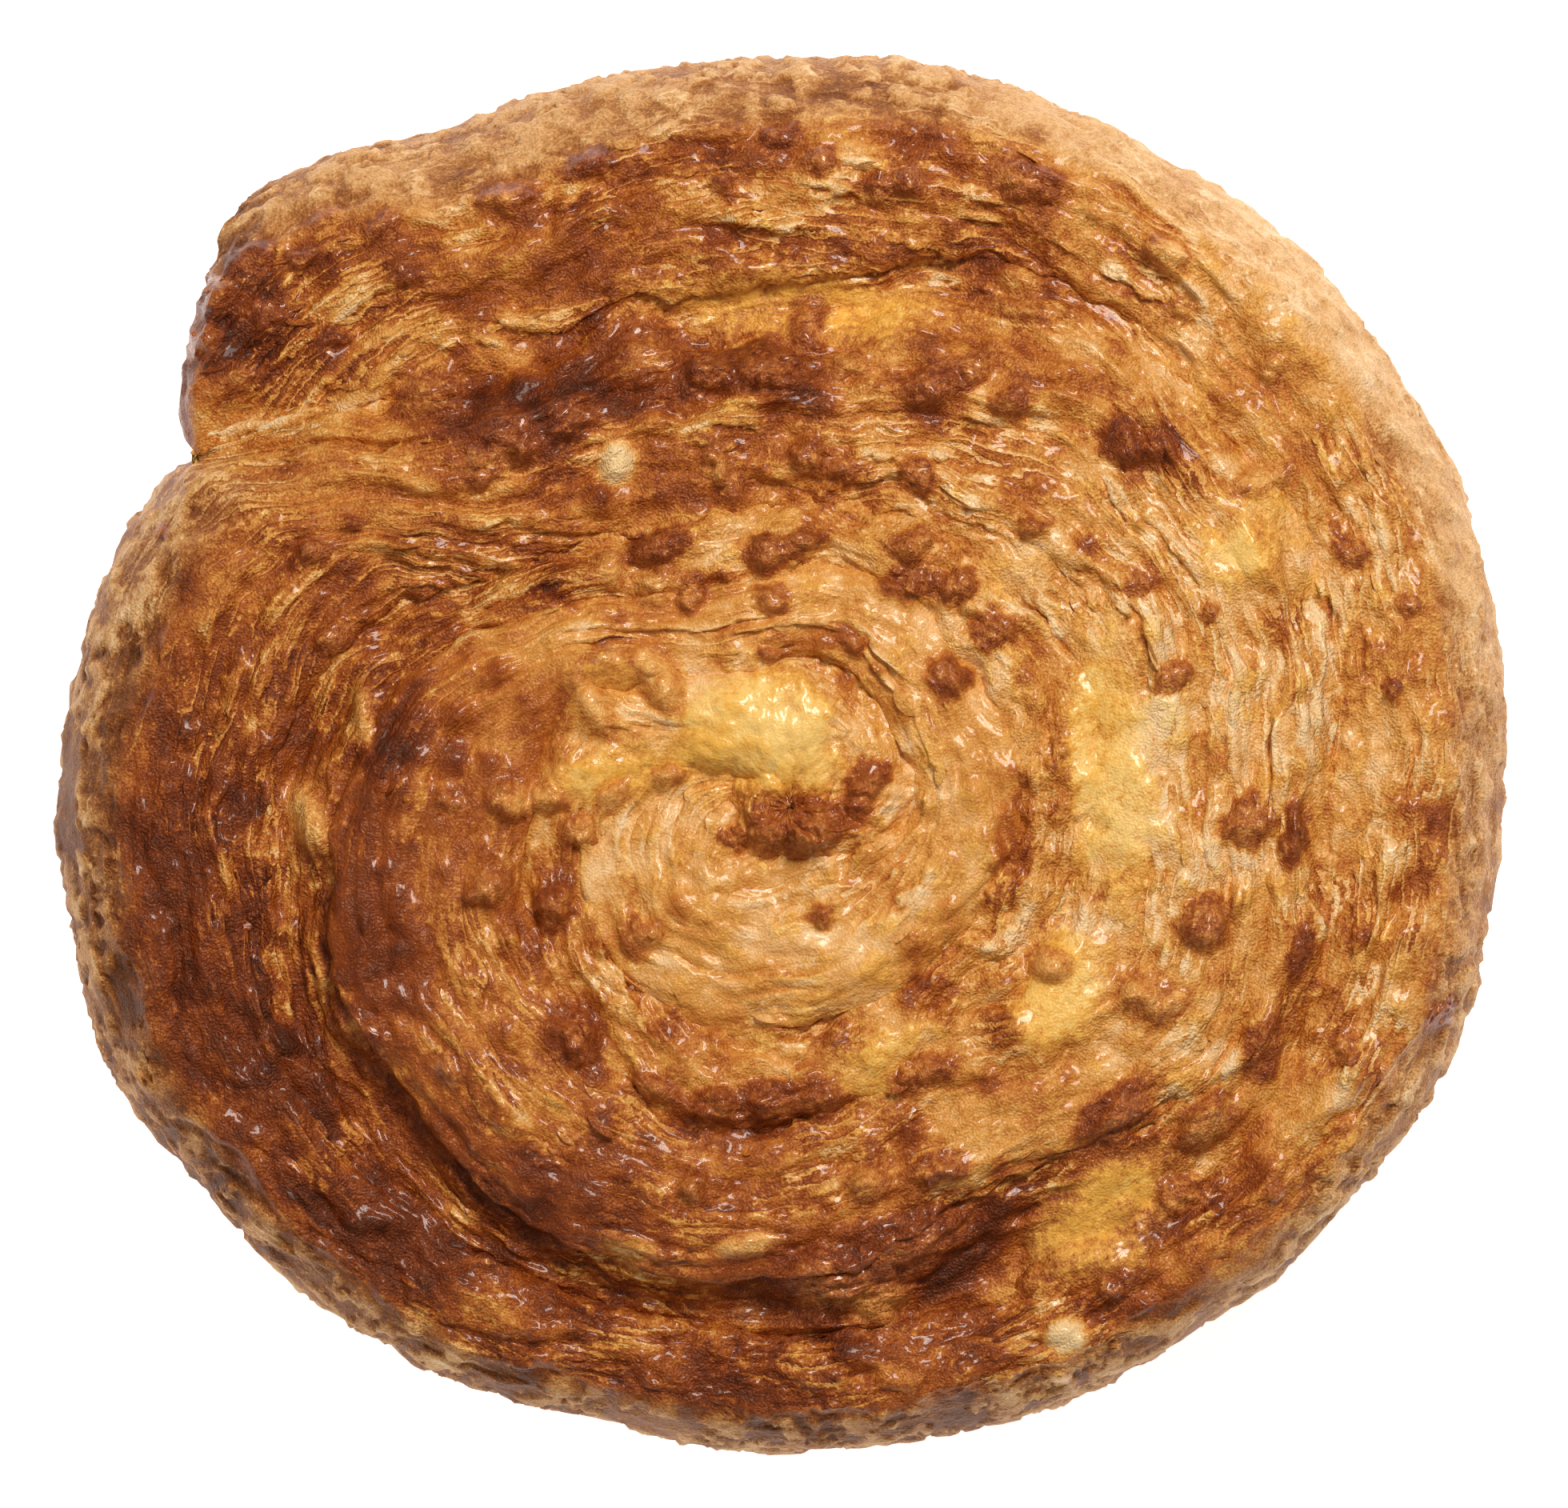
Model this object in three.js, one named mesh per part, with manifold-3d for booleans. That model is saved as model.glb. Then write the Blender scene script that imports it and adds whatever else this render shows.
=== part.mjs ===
// Cheese swirl: a strip of laminated dough rolled up with a cheese filling, laid flat and baked.
// Millimetres, +Z up. The swirl rests on z = 0 with the middle of its outline over the origin.
// The strip winds clockwise, seen from above, from its tail at the upper left in to the middle.
import * as THREE from "three";
import { mergeVertices } from "three/addons/utils/BufferGeometryUtils.js";
import Module from "manifold-3d";

const { degToRad, lerp, smoothstep, clamp } = THREE.MathUtils;

// Where the coil winds round, and the direction of the notch where the tail meets the first turn
const COIL_CENTRE = new THREE.Vector2(1.4, -4.6);
const NOTCH_BEARING = 151;
const FULL_TURN = 360;

// Knots are (degrees wound in from the notch, millimetres)
// Distance from the coil's centre to the outside wall, once round
const OUTLINE = [
  [0, 69.2], [19, 68.5], [31, 64.4], [51, 62.6], [81, 62.5], [121, 61.6], [136, 60.3], [151, 58.8],
  [171, 58.0], [191, 55.8], [221, 53.8], [241, 53.1], [271, 55.4], [301, 59.2], [321, 61.5], [341, 61.2],
  [360, 59.6],
];
// Distance from the coil's centre to the middle of the filling, from the notch to the pool at the heart
const SEAM = [
  [0, 58.7], [8, 50.9], [18, 43.6], [31, 40.3], [61, 40.8], [86, 44.6], [121, 43.8], [149, 41.2],
  [175, 42.9], [212, 39.0], [245, 40.8], [292, 42.6], [335, 39.8], [354, 34.8], [373, 27.8],
  [400, 22.6], [447, 22.1], [498, 21.6], [556, 19.4], [600, 21.3], [638, 23.6], [671, 21.2],
  [700, 19.3], [715, 15.6], [726, 11.0], [745, 8.4], [765, 6.5], [811, 5.4], [871, 4.0], [961, 2.2],
  [1088, 2.3],
];
// Width of the filling between the walls of the dough
const FILLING_WIDTH = [
  [0, 1.2], [20, 2.2], [45, 5.5], [78, 7.0], [98, 5.0], [150, 3.6], [185, 5.0], [206, 7.5], [232, 6.0],
  [270, 4.6], [318, 5.2], [346, 5.6], [380, 4.6], [440, 4.0], [490, 6.0], [520, 5.0], [568, 5.0],
  [604, 7.6], [640, 5.4], [671, 3.6], [700, 4.4], [715, 7.0], [726, 11.0], [745, 11.0],
  [765, 9.8], [811, 10.4], [871, 7.8], [961, 4.3], [1088, 4.5],
];
// Height of the dough's crest, which climbs towards the middle
const CREST = [
  [0, 24.0], [30, 27.0], [120, 28.5], [250, 27.5], [340, 29.0], [430, 30.0], [600, 30.5], [800, 31.0],
  [1088, 29.5],
];
// How far the filling lies below the edges of the dough beside it; less than 0 where it has welled up
const FILLING_DIP = [
  [0, 0.0], [30, -0.8], [45, 0.4], [70, 2.8], [95, 2.2], [122, -0.2], [150, -1.0], [205, -0.4], [240, 1.0],
  [275, 1.2], [325, 0.6], [360, -0.2], [430, -0.9], [480, -1.2], [540, -0.9], [600, -0.4], [660, -0.4],
  [700, -0.8], [740, -1.4], [1088, -1.4],
];

// The strip's section
const STRIP_END = 1086;
const WINDING_STEP = 6;
const TAIL_SLANT = 19;
const SLANT_FADE = 66;
const FOOT_TUCK = 5.0;
const WIDEST_AT = 0.4;
const INNER_DROP = 2.0;
const SHOULDER_POWER = 2.3;
const WALL_HEIGHTS = [0, 0.3, 0.65];
const TOP_STRIPS = 14;

// Relief of the baked layers
const LAYER_RIDGE = 0.6;
const CREST_SWELL = 0.7;
const WALL_SWELL = 0.4;
const FILLING_SWELL = 0.6;

// The filling's section, and the gap that keeps it clear of the dough
const CLEARANCE = 0.3;
const FILLING_END = 762;
const FILLING_STRIPS = 4;
const POOL_SIDES = 30;
const POOL_FROM = 754;
const POOL_RINGS = 3;
const POOL_SWELL = 0.8;

// The largest toasted nibs: x, y, length, width and bearing of the long axis
const NIB_HEIGHT = 0.62;
const NIB_SUNK = 0.35;
const NIB_SIDES = 6;
const NIB_RINGS = 4;
const SEEK_PASSES = 8;
const NIBS = [
  [-13.7, 23.9, 4.2, 3.5, 80], [23.1, -47.8, 3.7, 3.0, 0], [31.9, 41.0, 3.5, 3.0, 70],
  [39.9, 31.6, 3.0, 2.8, 45], [-37.1, 34.2, 2.7, 2.5, 0], [-0.3, 50.9, 3.4, 2.0, 0],
  [-9.2, 49.2, 4.6, 3.2, 20], [19.1, 47.0, 4.4, 3.4, -30], [2.0, 24.2, 3.6, 3.2, 0],
  [11.1, 22.6, 3.0, 2.8, 0], [18.3, 28.5, 3.4, 2.6, 0], [20.6, 18.5, 2.9, 2.7, 0],
  [30.4, 24.9, 3.6, 3.2, 60], [46.5, 16.4, 3.2, 2.8, 0], [34.9, -13.9, 5.2, 4.8, 50],
  [6.7, -35.0, 4.0, 3.2, 0], [32.0, 6.5, 2.9, 2.9, 0], [-10.4, 6.2, 5.6, 3.6, 115],
  [-10.7, 14.0, 4.4, 3.3, 0], [-1.0, 12.5, 2.9, 2.7, 0], [5.4, 9.0, 2.5, 2.4, 0],
  [13.4, 6.4, 4.0, 3.5, 20], [10.2, 14.4, 4.6, 3.2, -10], [3.1, -13.2, 2.1, 2.1, 0],
  [-11.6, -15.0, 3.8, 3.2, 20], [46.1, -24.2, 3.2, 2.8, 0], [-38.6, 17.0, 3.4, 3.0, 40],
  [49.9, 5.2, 2.2, 2.2, 0],
];

const DOUGH_COLOUR = 0xc6853f;
const FILLING_COLOUR = 0xe0a94c;

const wasm = await Module();
wasm.setup();

// A smooth function through (x, value) knots, level beyond both ends
function through(knots) {
  const last = knots.length - 1;
  const slope = (i) => {
    const before = knots[Math.max(i - 1, 0)];
    const after = knots[Math.min(i + 1, last)];
    return (after[1] - before[1]) / (after[0] - before[0]);
  };
  return (x) => {
    if (x <= knots[0][0]) return knots[0][1];
    if (x >= knots[last][0]) return knots[last][1];
    const i = knots.findIndex((knot) => knot[0] > x) - 1;
    const span = knots[i + 1][0] - knots[i][0];
    const s = (x - knots[i][0]) / span;
    const rise = 3 * s ** 2 - 2 * s ** 3;
    const ease = s * (1 - s) * span;
    return lerp(knots[i][1], knots[i + 1][1], rise) + ease * ((1 - s) * slope(i) - s * slope(i + 1));
  };
}

const outline = through(OUTLINE);
const seam = through(SEAM);
const fillingWidth = through(FILLING_WIDTH);
const crest = through(CREST);
const fillingDip = through(FILLING_DIP);

// An uneven swell between -1 and 1 that repeats nowhere along the strip
function swell(wound, lane) {
  const a = degToRad(wound);
  return (Math.sin(5.3 * a + 1.9 * lane) + Math.sin(11.7 * a + 4.1 * lane) + Math.sin(2.1 * a - lane)) / 3;
}

// The two walls of the strip after winding in by so many degrees
const innerWall = (wound) => seam(wound) + fillingWidth(wound) / 2;
function outerWall(wound) {
  const lower = wound - FULL_TURN;
  return wound < FULL_TURN ? outline(wound) : seam(lower) - fillingWidth(lower) / 2;
}

// 1 on the outside turn, whose wall is free to bulge, and 0 where the wall is wrapped in
const freedom = (wound) => 1 - smoothstep(wound, FULL_TURN - 12, FULL_TURN + 14);

// Height of the strip's widest line: part way up the free outside wall, near the top of a wrapped wall
function edgeHeight(wound, across) {
  const wrapped = crest(wound) - INNER_DROP;
  return across < 0.5 ? lerp(wrapped, WIDEST_AT * crest(wound), freedom(wound)) : wrapped;
}

// Height of the dough's top at a fraction across the strip, 0 outside and 1 inside
function topHeight(wound, across) {
  const edge = edgeHeight(wound, across);
  const round = (1 - Math.abs(2 * across - 1) ** SHOULDER_POWER) ** (1 / SHOULDER_POWER);
  return lerp(edge, crest(wound), round) + CREST_SWELL * swell(wound, 3 * across) * round ** 3;
}

// Point of the coil at a distance from its centre
function wind(wound, distance, height) {
  const bearing = degToRad(NOTCH_BEARING - wound);
  return new THREE.Vector3(
    COIL_CENTRE.x + distance * Math.cos(bearing),
    COIL_CENTRE.y + distance * Math.sin(bearing),
    height,
  );
}

// The strip's section as points (across, up), from the outer foot over the top to the inner foot
const stripSection = [
  ...WALL_HEIGHTS.map((up) => ({ across: 0, up })),
  ...Array.from({ length: TOP_STRIPS + 1 }, (_, i) => ({
    across: (1 - Math.cos((Math.PI * i) / TOP_STRIPS)) / 2,
    up: 1,
    ridge: i > 1 && i < TOP_STRIPS - 1 ? (i % 2) - 0.5 : 0,
  })),
  { across: 1, up: 0.5 },
  { across: 1, up: 0 },
  { across: 0.5, up: 0 },
];

// How far the slanted tail carries a point on round the coil
const slantAt = (wound, across) => TAIL_SLANT * (1 - across) * (1 - smoothstep(wound, 0, SLANT_FADE));

// Where a point of the strip's section lies in the coil
function stripPoint(wound, { across, up, ridge = 0 }) {
  const free = freedom(wound);
  const tuck = free * FOOT_TUCK * (1 - up) ** 2;
  const bulge = free * up * WALL_SWELL * (swell(wound, 3 * up) - 0.5);
  const slant = slantAt(wound, across);
  const distance = lerp(outerWall(wound + slant) - tuck + bulge, innerWall(wound), across);
  const layer = LAYER_RIDGE * ridge * (1.4 + swell(wound, 7 * across));
  return wind(wound + slant, distance, up * (topHeight(wound, across) + layer));
}

// A closed tube bent into shape: place(along, index) puts each point of each ring, and both ends are capped
function tube(ringPoints, steps, place) {
  const geometry = new THREE.CylinderGeometry(1, 1, 1, ringPoints, steps);
  const position = geometry.getAttribute("position");
  for (let i = 0; i < position.count; i++) {
    const along = Math.round((0.5 + position.getY(i)) * steps);
    const index = Math.round((Math.atan2(position.getX(i), position.getZ(i)) / (2 * Math.PI)) * ringPoints);
    const onAxis = Math.hypot(position.getX(i), position.getZ(i)) < 0.5;
    const ring = Array.from({ length: ringPoints }, (_, k) => k);
    const point = onAxis
      ? ring.reduce((sum, k) => sum.add(place(along, k)), new THREE.Vector3()).divideScalar(ringPoints)
      : place(along, (index + ringPoints) % ringPoints);
    position.setXYZ(i, point.x, point.y, point.z);
  }
  return geometry;
}

// A three.js geometry as a solid that can be joined
function solidOf(geometry) {
  const bare = new THREE.BufferGeometry();
  bare.setAttribute("position", geometry.getAttribute("position"));
  bare.setIndex(geometry.getIndex());
  const merged = mergeVertices(bare);
  return new wasm.Manifold(
    new wasm.Mesh({
      numProp: 3,
      vertProperties: merged.getAttribute("position").array,
      triVerts: new Uint32Array(merged.getIndex().array),
    }),
  );
}

// A joined solid as a named mesh
function meshOf(solid, name, material) {
  const { numProp, numVert, vertProperties, triVerts } = solid.getMesh();
  const positions = new Float32Array(numVert * 3);
  for (let i = 0; i < numVert; i++) {
    positions.set(vertProperties.subarray(i * numProp, i * numProp + 3), i * 3);
  }
  const geometry = new THREE.BufferGeometry();
  geometry.setAttribute("position", new THREE.BufferAttribute(positions, 3));
  geometry.setIndex(new THREE.BufferAttribute(triVerts, 1));
  geometry.computeVertexNormals();
  const mesh = new THREE.Mesh(geometry, material);
  mesh.name = name;
  return mesh;
}

function doughStrip() {
  const place = (along, k) => stripPoint(along * WINDING_STEP, stripSection[k]);
  return solidOf(tube(stripSection.length, STRIP_END / WINDING_STEP, place));
}

// Level of the filling, a little below the lower of the two edges beside it
function fillingLevel(wound) {
  const outside = topHeight(wound, 1);
  const inside = topHeight(Math.min(wound + FULL_TURN, STRIP_END), 0);
  return Math.min(outside, inside) - fillingDip(wound);
}

function fillingRibbon() {
  const section = [
    { across: 0, up: 0 },
    { across: 0, up: 0.5 },
    ...Array.from({ length: FILLING_STRIPS + 1 }, (_, i) => ({ across: i / FILLING_STRIPS, up: 1 })),
    { across: 1, up: 0.5 },
    { across: 1, up: 0 },
  ];
  const place = (along, k) => {
    const wound = along * WINDING_STEP;
    const { across, up } = section[k];
    const half = fillingWidth(wound) / 2 - CLEARANCE;
    const rise = FILLING_SWELL * swell(wound, 5 * across) * (across > 0 && across < 1);
    return wind(wound, seam(wound) + half * (1 - 2 * across), up * (fillingLevel(wound) + rise));
  };
  return solidOf(tube(section.length, FILLING_END / WINDING_STEP, place));
}

// The pool at the heart: a round block out to the dough that curls about it
function fillingPool() {
  const reach = (k) => {
    const wound = POOL_FROM + FULL_TURN - (k * FULL_TURN) / POOL_SIDES;
    return { wound, distance: innerWall(wound) - 2 * CLEARANCE };
  };
  const level = fillingLevel(POOL_FROM);
  const place = (along, k) => {
    const { wound, distance } = reach(k);
    const shrink = along === 0 ? 0.999 : 1 - Math.max(0, along - 1) / POOL_RINGS;
    const dome = POOL_SWELL * (1 - shrink) * (1 + swell(wound, along));
    return wind(wound, distance * shrink, along === 0 ? 0 : level + dome);
  };
  return solidOf(tube(POOL_SIDES, POOL_RINGS, place));
}

// Height of the dough's top under a point, or nothing where the point is off the dough or close to its edge
function doughUnder(x, y, margin) {
  const arm = new THREE.Vector2(x, y).sub(COIL_CENTRE);
  const distance = arm.length();
  const first = (NOTCH_BEARING - THREE.MathUtils.radToDeg(arm.angle()) + FULL_TURN) % FULL_TURN;
  for (let turned = first; turned < STRIP_END; turned += FULL_TURN) {
    const outside = outerWall(turned);
    let wound = turned;
    let across = 0.5;
    for (let pass = 0; pass < SEEK_PASSES; pass++) {
      wound = turned - slantAt(wound, across);
      across = clamp((outside - distance) / (outside - innerWall(wound)), 0, 1);
    }
    if (distance < outside - margin && distance > innerWall(wound) + margin) return topHeight(wound, across);
  }
  return undefined;
}

// A toasted nib: a rough grain set into the dough's top
function nib([x, y, length, width, bearing]) {
  const ground = doughUnder(x, y, length / 2);
  if (ground === undefined) return undefined;
  const grain = new THREE.SphereGeometry(0.5, NIB_SIDES, NIB_RINGS);
  grain.rotateX(Math.PI / 2);
  grain.scale(length, width, width * NIB_HEIGHT);
  grain.rotateZ(degToRad(bearing));
  grain.translate(x, y, ground + width * NIB_HEIGHT * (0.5 - NIB_SUNK));
  return solidOf(grain);
}

const dough = NIBS.map(nib)
  .filter((grain) => grain !== undefined)
  .reduce((joined, grain) => joined.add(grain), doughStrip());
const filling = fillingRibbon().add(fillingPool());

// The middle of the outline goes over the origin
const { min, max } = dough.boundingBox();
const centring = [-(min[0] + max[0]) / 2, -(min[1] + max[1]) / 2, 0];

const crust = new THREE.MeshStandardMaterial({ color: DOUGH_COLOUR, roughness: 0.55, metalness: 0 });
const cheese = new THREE.MeshStandardMaterial({ color: FILLING_COLOUR, roughness: 0.4, metalness: 0 });

const swirl = new THREE.Group();
swirl.name = "cheese_swirl";
swirl.add(
  meshOf(dough.translate(centring), "dough_coil", crust),
  meshOf(filling.translate(centring), "cheese_filling", cheese),
);

export default swirl;
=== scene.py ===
# Cheese swirl: the baked look of the rolled dough, its melted cheese and its toasted nibs.
# Lengths in the dough and cheese trees are millimetres, and their last steps make them metres.
import math

import bpy
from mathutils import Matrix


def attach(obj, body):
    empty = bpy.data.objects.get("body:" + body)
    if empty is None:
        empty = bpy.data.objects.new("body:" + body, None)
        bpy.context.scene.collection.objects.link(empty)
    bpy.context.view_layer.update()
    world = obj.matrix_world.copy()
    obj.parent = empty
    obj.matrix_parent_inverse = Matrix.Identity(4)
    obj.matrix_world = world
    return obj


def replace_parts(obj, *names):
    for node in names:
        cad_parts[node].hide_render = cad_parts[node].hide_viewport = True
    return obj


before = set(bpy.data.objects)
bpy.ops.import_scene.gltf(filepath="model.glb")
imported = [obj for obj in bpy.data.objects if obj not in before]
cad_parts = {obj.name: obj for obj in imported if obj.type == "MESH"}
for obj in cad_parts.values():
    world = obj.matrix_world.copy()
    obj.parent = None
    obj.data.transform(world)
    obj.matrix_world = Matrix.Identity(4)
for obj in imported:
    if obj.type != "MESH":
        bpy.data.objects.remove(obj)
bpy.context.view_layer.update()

# Sizes shared with the solids
COIL_CENTRE = (1.19, -4.56)
NOTCH_BEARING = 151
FULL_TURN = 360
STRIP_END = 1086
TAIL_SLANT = 19
SLANT_FADE = 66
FOOT_TUCK = 5.0
WIDEST_AT = 0.4
INNER_DROP = 2.0
SHOULDER_POWER = 2.3
MILLIMETRE = 0.001

# The last knot of the laws below, in degrees wound in from the notch
KNOT_REACH = 1088.0
# Degrees over which the outer wall stops being free, and over which the strip passes inside its first turn
FREE_ENDS = (348.0, 374.0)
WRAPPED_IN = (352.0, 364.0)
# How sharply the tail is rounded off, and the degrees over which relief grows from its end
TAIL_CURVE = 5.0
TAIL_TIP = 9.0
# Shares of a ring's points where its parts end: underside, outer wall, more where that is free, and top
FOOT_SHARE = 0.03
STRIP_WALL = 0.08
FREE_WALL_MORE = 0.20
STRIP_TOP_END = 0.90
FILLING_WALL = 0.12
FILLING_TOP_END = 0.88
# Share of a ring on each side of the seam under it that has less relief
SEAM_SHARE = 0.01
# The top's points are drawn towards the shoulders by this share
SHOULDER_SHARE = 0.6
# Points closer than this many millimetres become one, on the filling and flakes and on the strip
WELD = 0.0005
END_WELD = 0.012
# Offsets in the layer pattern that keep the walls and the filling apart from the cut face
WALL_LANE = 18.0
FILLING_LANE = 23.0

# Knots are (degrees wound in from the notch, value)
OUTLINE = [
    (0, 69.2), (19, 68.5), (31, 64.4), (51, 62.6), (81, 62.5), (121, 61.6), (136, 60.3), (151, 58.8),
    (171, 58.0), (191, 55.8), (221, 53.8), (241, 53.1), (271, 55.4), (301, 59.2), (321, 61.5), (341, 61.2),
    (360, 59.6),
]
SEAM = [
    (0, 58.7), (8, 50.9), (18, 43.6), (31, 40.3), (61, 40.8), (86, 44.6), (121, 43.8), (149, 41.2),
    (175, 42.9), (212, 39.0), (245, 40.8), (292, 42.6), (335, 39.8), (354, 34.8), (373, 27.8),
    (400, 22.6), (447, 22.1), (498, 21.6), (556, 19.4), (600, 21.3), (638, 23.6), (671, 21.2),
    (700, 19.3), (715, 15.6), (726, 11.0), (745, 8.4), (765, 6.5), (811, 5.4), (871, 4.0), (961, 2.2),
    (1088, 2.3),
]
FILLING_WIDTH = [
    (0, 1.2), (20, 2.2), (45, 5.5), (78, 7.0), (98, 5.0), (150, 3.6), (185, 5.0), (206, 7.5), (232, 6.0),
    (270, 4.6), (318, 5.2), (346, 5.6), (380, 4.6), (440, 4.0), (490, 6.0), (520, 5.0), (568, 5.0),
    (604, 7.6), (640, 5.4), (671, 3.6), (700, 4.4), (715, 7.0), (726, 11.0), (745, 11.0),
    (765, 9.8), (811, 10.4), (871, 7.8), (961, 4.3), (1088, 4.5),
]
CREST = [
    (0, 24.0), (30, 27.0), (120, 28.5), (250, 27.5), (340, 29.0), (430, 30.0), (600, 30.5), (800, 31.0),
    (960, 30.8), (1040, 30.2), (1088, 29.0),
]
FILLING_DIP = [
    (0, 3.0), (4, 0.8), (8, -0.6), (16, -1.4), (30, -1.0), (45, 1.2), (62, 3.6), (74, 2.8), (86, 0.6),
    (100, -0.8), (150, -1.2), (185, -0.6), (205, 0.6), (225, 1.6), (255, 1.8), (300, 1.8), (330, 1.6),
    (360, 0.4), (400, -0.6), (450, -0.8), (485, -0.6), (520, -0.5), (560, -0.6), (620, -0.4), (670, 0.4),
    (700, -0.6), (740, -1.2), (1088, -1.2),
]
# How far the melted cheese laps over the dough on each side
LAPPED = [
    (0, 4.0), (10, 3.4), (20, 2.8), (36, 2.6), (58, 2.0), (110, 2.6), (300, 2.4), (420, 2.2), (640, 2.4),
    (700, 3.6), (720, 5.6), (748, 5.6), (780, 3.0), (1088, 2.2),
]
LAPPED_OUT = 2.8
# Length of strip rolled up by then
ROLLED = [(0, 0), (180, 165), (360, 320), (540, 425), (720, 512), (900, 560), (1088, 590)]
# Degrees wound in after a share of the strip's length
WOUND_AT = [(0.0, 0), (0.28, 180), (0.542, 360), (0.72, 540), (0.868, 720), (0.949, 900), (1.0, 1086)]
# The filling stays within this distance of the coil's centre at the notch, and further by each degree
NOTCH_REACH = 57.0
NOTCH_WIDENING = 0.25
# The filling's top: its climb to the next turn, its highest level, the heart's level and place, and the sag
MOST_CLIMB = 2.5
FILLING_TOP = 31.0
HEART_TOP = 30.4
HEART_FROM = 900.0
HEART_AT = 960.0
FILLING_SAG = 1.6

# How far each stretch of the crest, and of the outside slope, is baked, with painted shade in it: 0 cream,
# 0.5 amber, 1 burnt
# The darker stretches on the lower left, about 240 to 345 degrees, are partly browning and partly painted
# shade
CREST_BAKE_AND_SHADE = [
    (0, 0.52), (20, 0.48), (50, 0.46), (90, 0.38), (115, 0.31), (160, 0.33), (200, 0.50), (245, 0.66),
    (300, 0.72), (345, 0.62), (380, 0.47), (430, 0.40), (480, 0.27), (530, 0.29), (580, 0.40), (640, 0.51),
    (690, 0.50), (720, 0.42), (760, 0.32), (900, 0.28), (1000, 0.28), (1088, 0.30),
]
SLOPE_BAKE_AND_SHADE = [
    (0, 0.54), (30, 0.43), (60, 0.46), (90, 0.26), (120, 0.27), (150, 0.45), (165, 0.46), (200, 0.53),
    (240, 0.59), (270, 0.57), (290, 0.60), (310, 0.63), (340, 0.61), (355, 0.48), (372, 0.38), (1088, 0.36),
]

# Patches that the oven baked darker, or lighter where negative, and lines of painted shade in creases: x, y,
# half length, half width, turn, strength
BROWNED_AND_SHADED = [
    (-45, 37, 5.5, 9, 10, 0.70),
    (-40, 42, 8, 2.4, 10, 0.22),
    (-41, 46.8, 8, 2.4, 15, -0.22),
    (-46.5, 25.5, 6, 4, 0, -0.22),
    (-37, 27.5, 6, 2.4, 12, -0.26),
    (-20, 28.6, 9.5, 4.4, 16, 0.74),
    (-33, 17, 7, 6, 0, -0.12),
    (-6, 8, 8, 3.5, 0, -0.20),
    (46, 17, 6, 8, 0, -0.10),
    (20, -47, 7, 4.5, 15, -0.12),
    (-8, -49, 7, 4, -8, -0.12),
    (7, -46, 6, 3.5, 10, 0.18),
    (-8, 31, 7, 2.8, 8, 0.30),
    (-18, 14, 3.5, 2.2, 0, 0.40),
    (-1, 31, 6, 3.2, -20, 0.35),
    (12, 29.5, 4.5, 3.5, 0, 0.30),
    (21, 31, 8, 4, -25, 0.26),
    (34, 27, 5, 5, -40, 0.18),
    (17, 40, 8, 3.0, -35, 0.26),
    (-32, 0, 3, 7, -20, 0.40),
    (-34, -14, 4.5, 12, 10, 0.30),
    (-17, -23, 3, 3, 0, 0.38),
    (-19, -11, 2.6, 3.4, 0, 0.30),
    (-2, -29, 8.5, 2.8, 5, 0.42),
    (12, -20, 3, 2.6, 0, 0.35),
    (26, -31, 5, 2.8, 50, 0.36),
    (18, -37, 5.5, 3.2, 35, 0.26),
    (9.5, -41.8, 11, 5, 18, 0.75),
    (-24, -48, 16, 4, -22, -0.20),
    (-46, 6, 5, 9, 0, -0.22),
    (-35, -21, 5, 5, 0, 0.18),
    (-19, -39, 5, 3.6, -25, 0.20),
    (2, -5.6, 5.6, 3.4, -10, 0.40),
    (31, 24.5, 4.4, 3.6, -30, 0.40),
    (-19, -36, 12, 3.4, -20, 0.18),
    (45, 33, 8, 6, -45, -0.14),
    (35, 42, 8, 5, -40, -0.12),
    (3, -13, 10, 6, 0, -0.08),
    # The next two are painted shade in the crease along the inner turn's edge, beside the cheese band on the
    # right
    (19, -6, 2.2, 9, -12, 0.40),
    (22.6, -1.5, 1.7, 5.5, -6, 0.50),
    (34, -1, 7, 15, 0, -0.27),
]

# Places where melted cheese shows yellow on the dough: x, y, half length, half width, turn, strength
CHEESY = [
    (-2, 1.8, 8.5, 6.0, -15, 1.0),
    (2, 37, 15, 3.8, -4, 0.74),
    (27, -1, 5.2, 15.5, 4, 0.85),
    (22.5, -19.5, 4.5, 6.5, -30, 0.95),
    (26.5, -38, 9, 5, 40, 0.9),
    (39, 19.5, 3.5, 5.5, -20, 0.55),
    (37, 16, 3.6, 3, 0, 0.6),
    (-15, 6, 4, 4, 0, 0.6),
    (-13, -1.6, 8, 3.4, 12, 0.75),
    (8, -25, 7, 3, 20, 0.6),
]

# Smooth glazed places without flakes, or with more of them where negative, in the same terms
GLAZED = [
    (-42, 36, 12, 10, 30, -0.9),
    (-44, 24, 8, 4, 20, -0.9),
    (3, -12, 16, 9, 0, -0.1),
    (-26, 30.2, 15, 2.6, 17, 1.0),
    (-34, -16, 3, 9, 12, 0.8),
    (-46, -2, 5, 16, 0, -0.6),
    (17, 33, 6, 2.5, -30, 0.8),
    (-8, -33, 9, 2.0, 8, 0.7),
]

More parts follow.
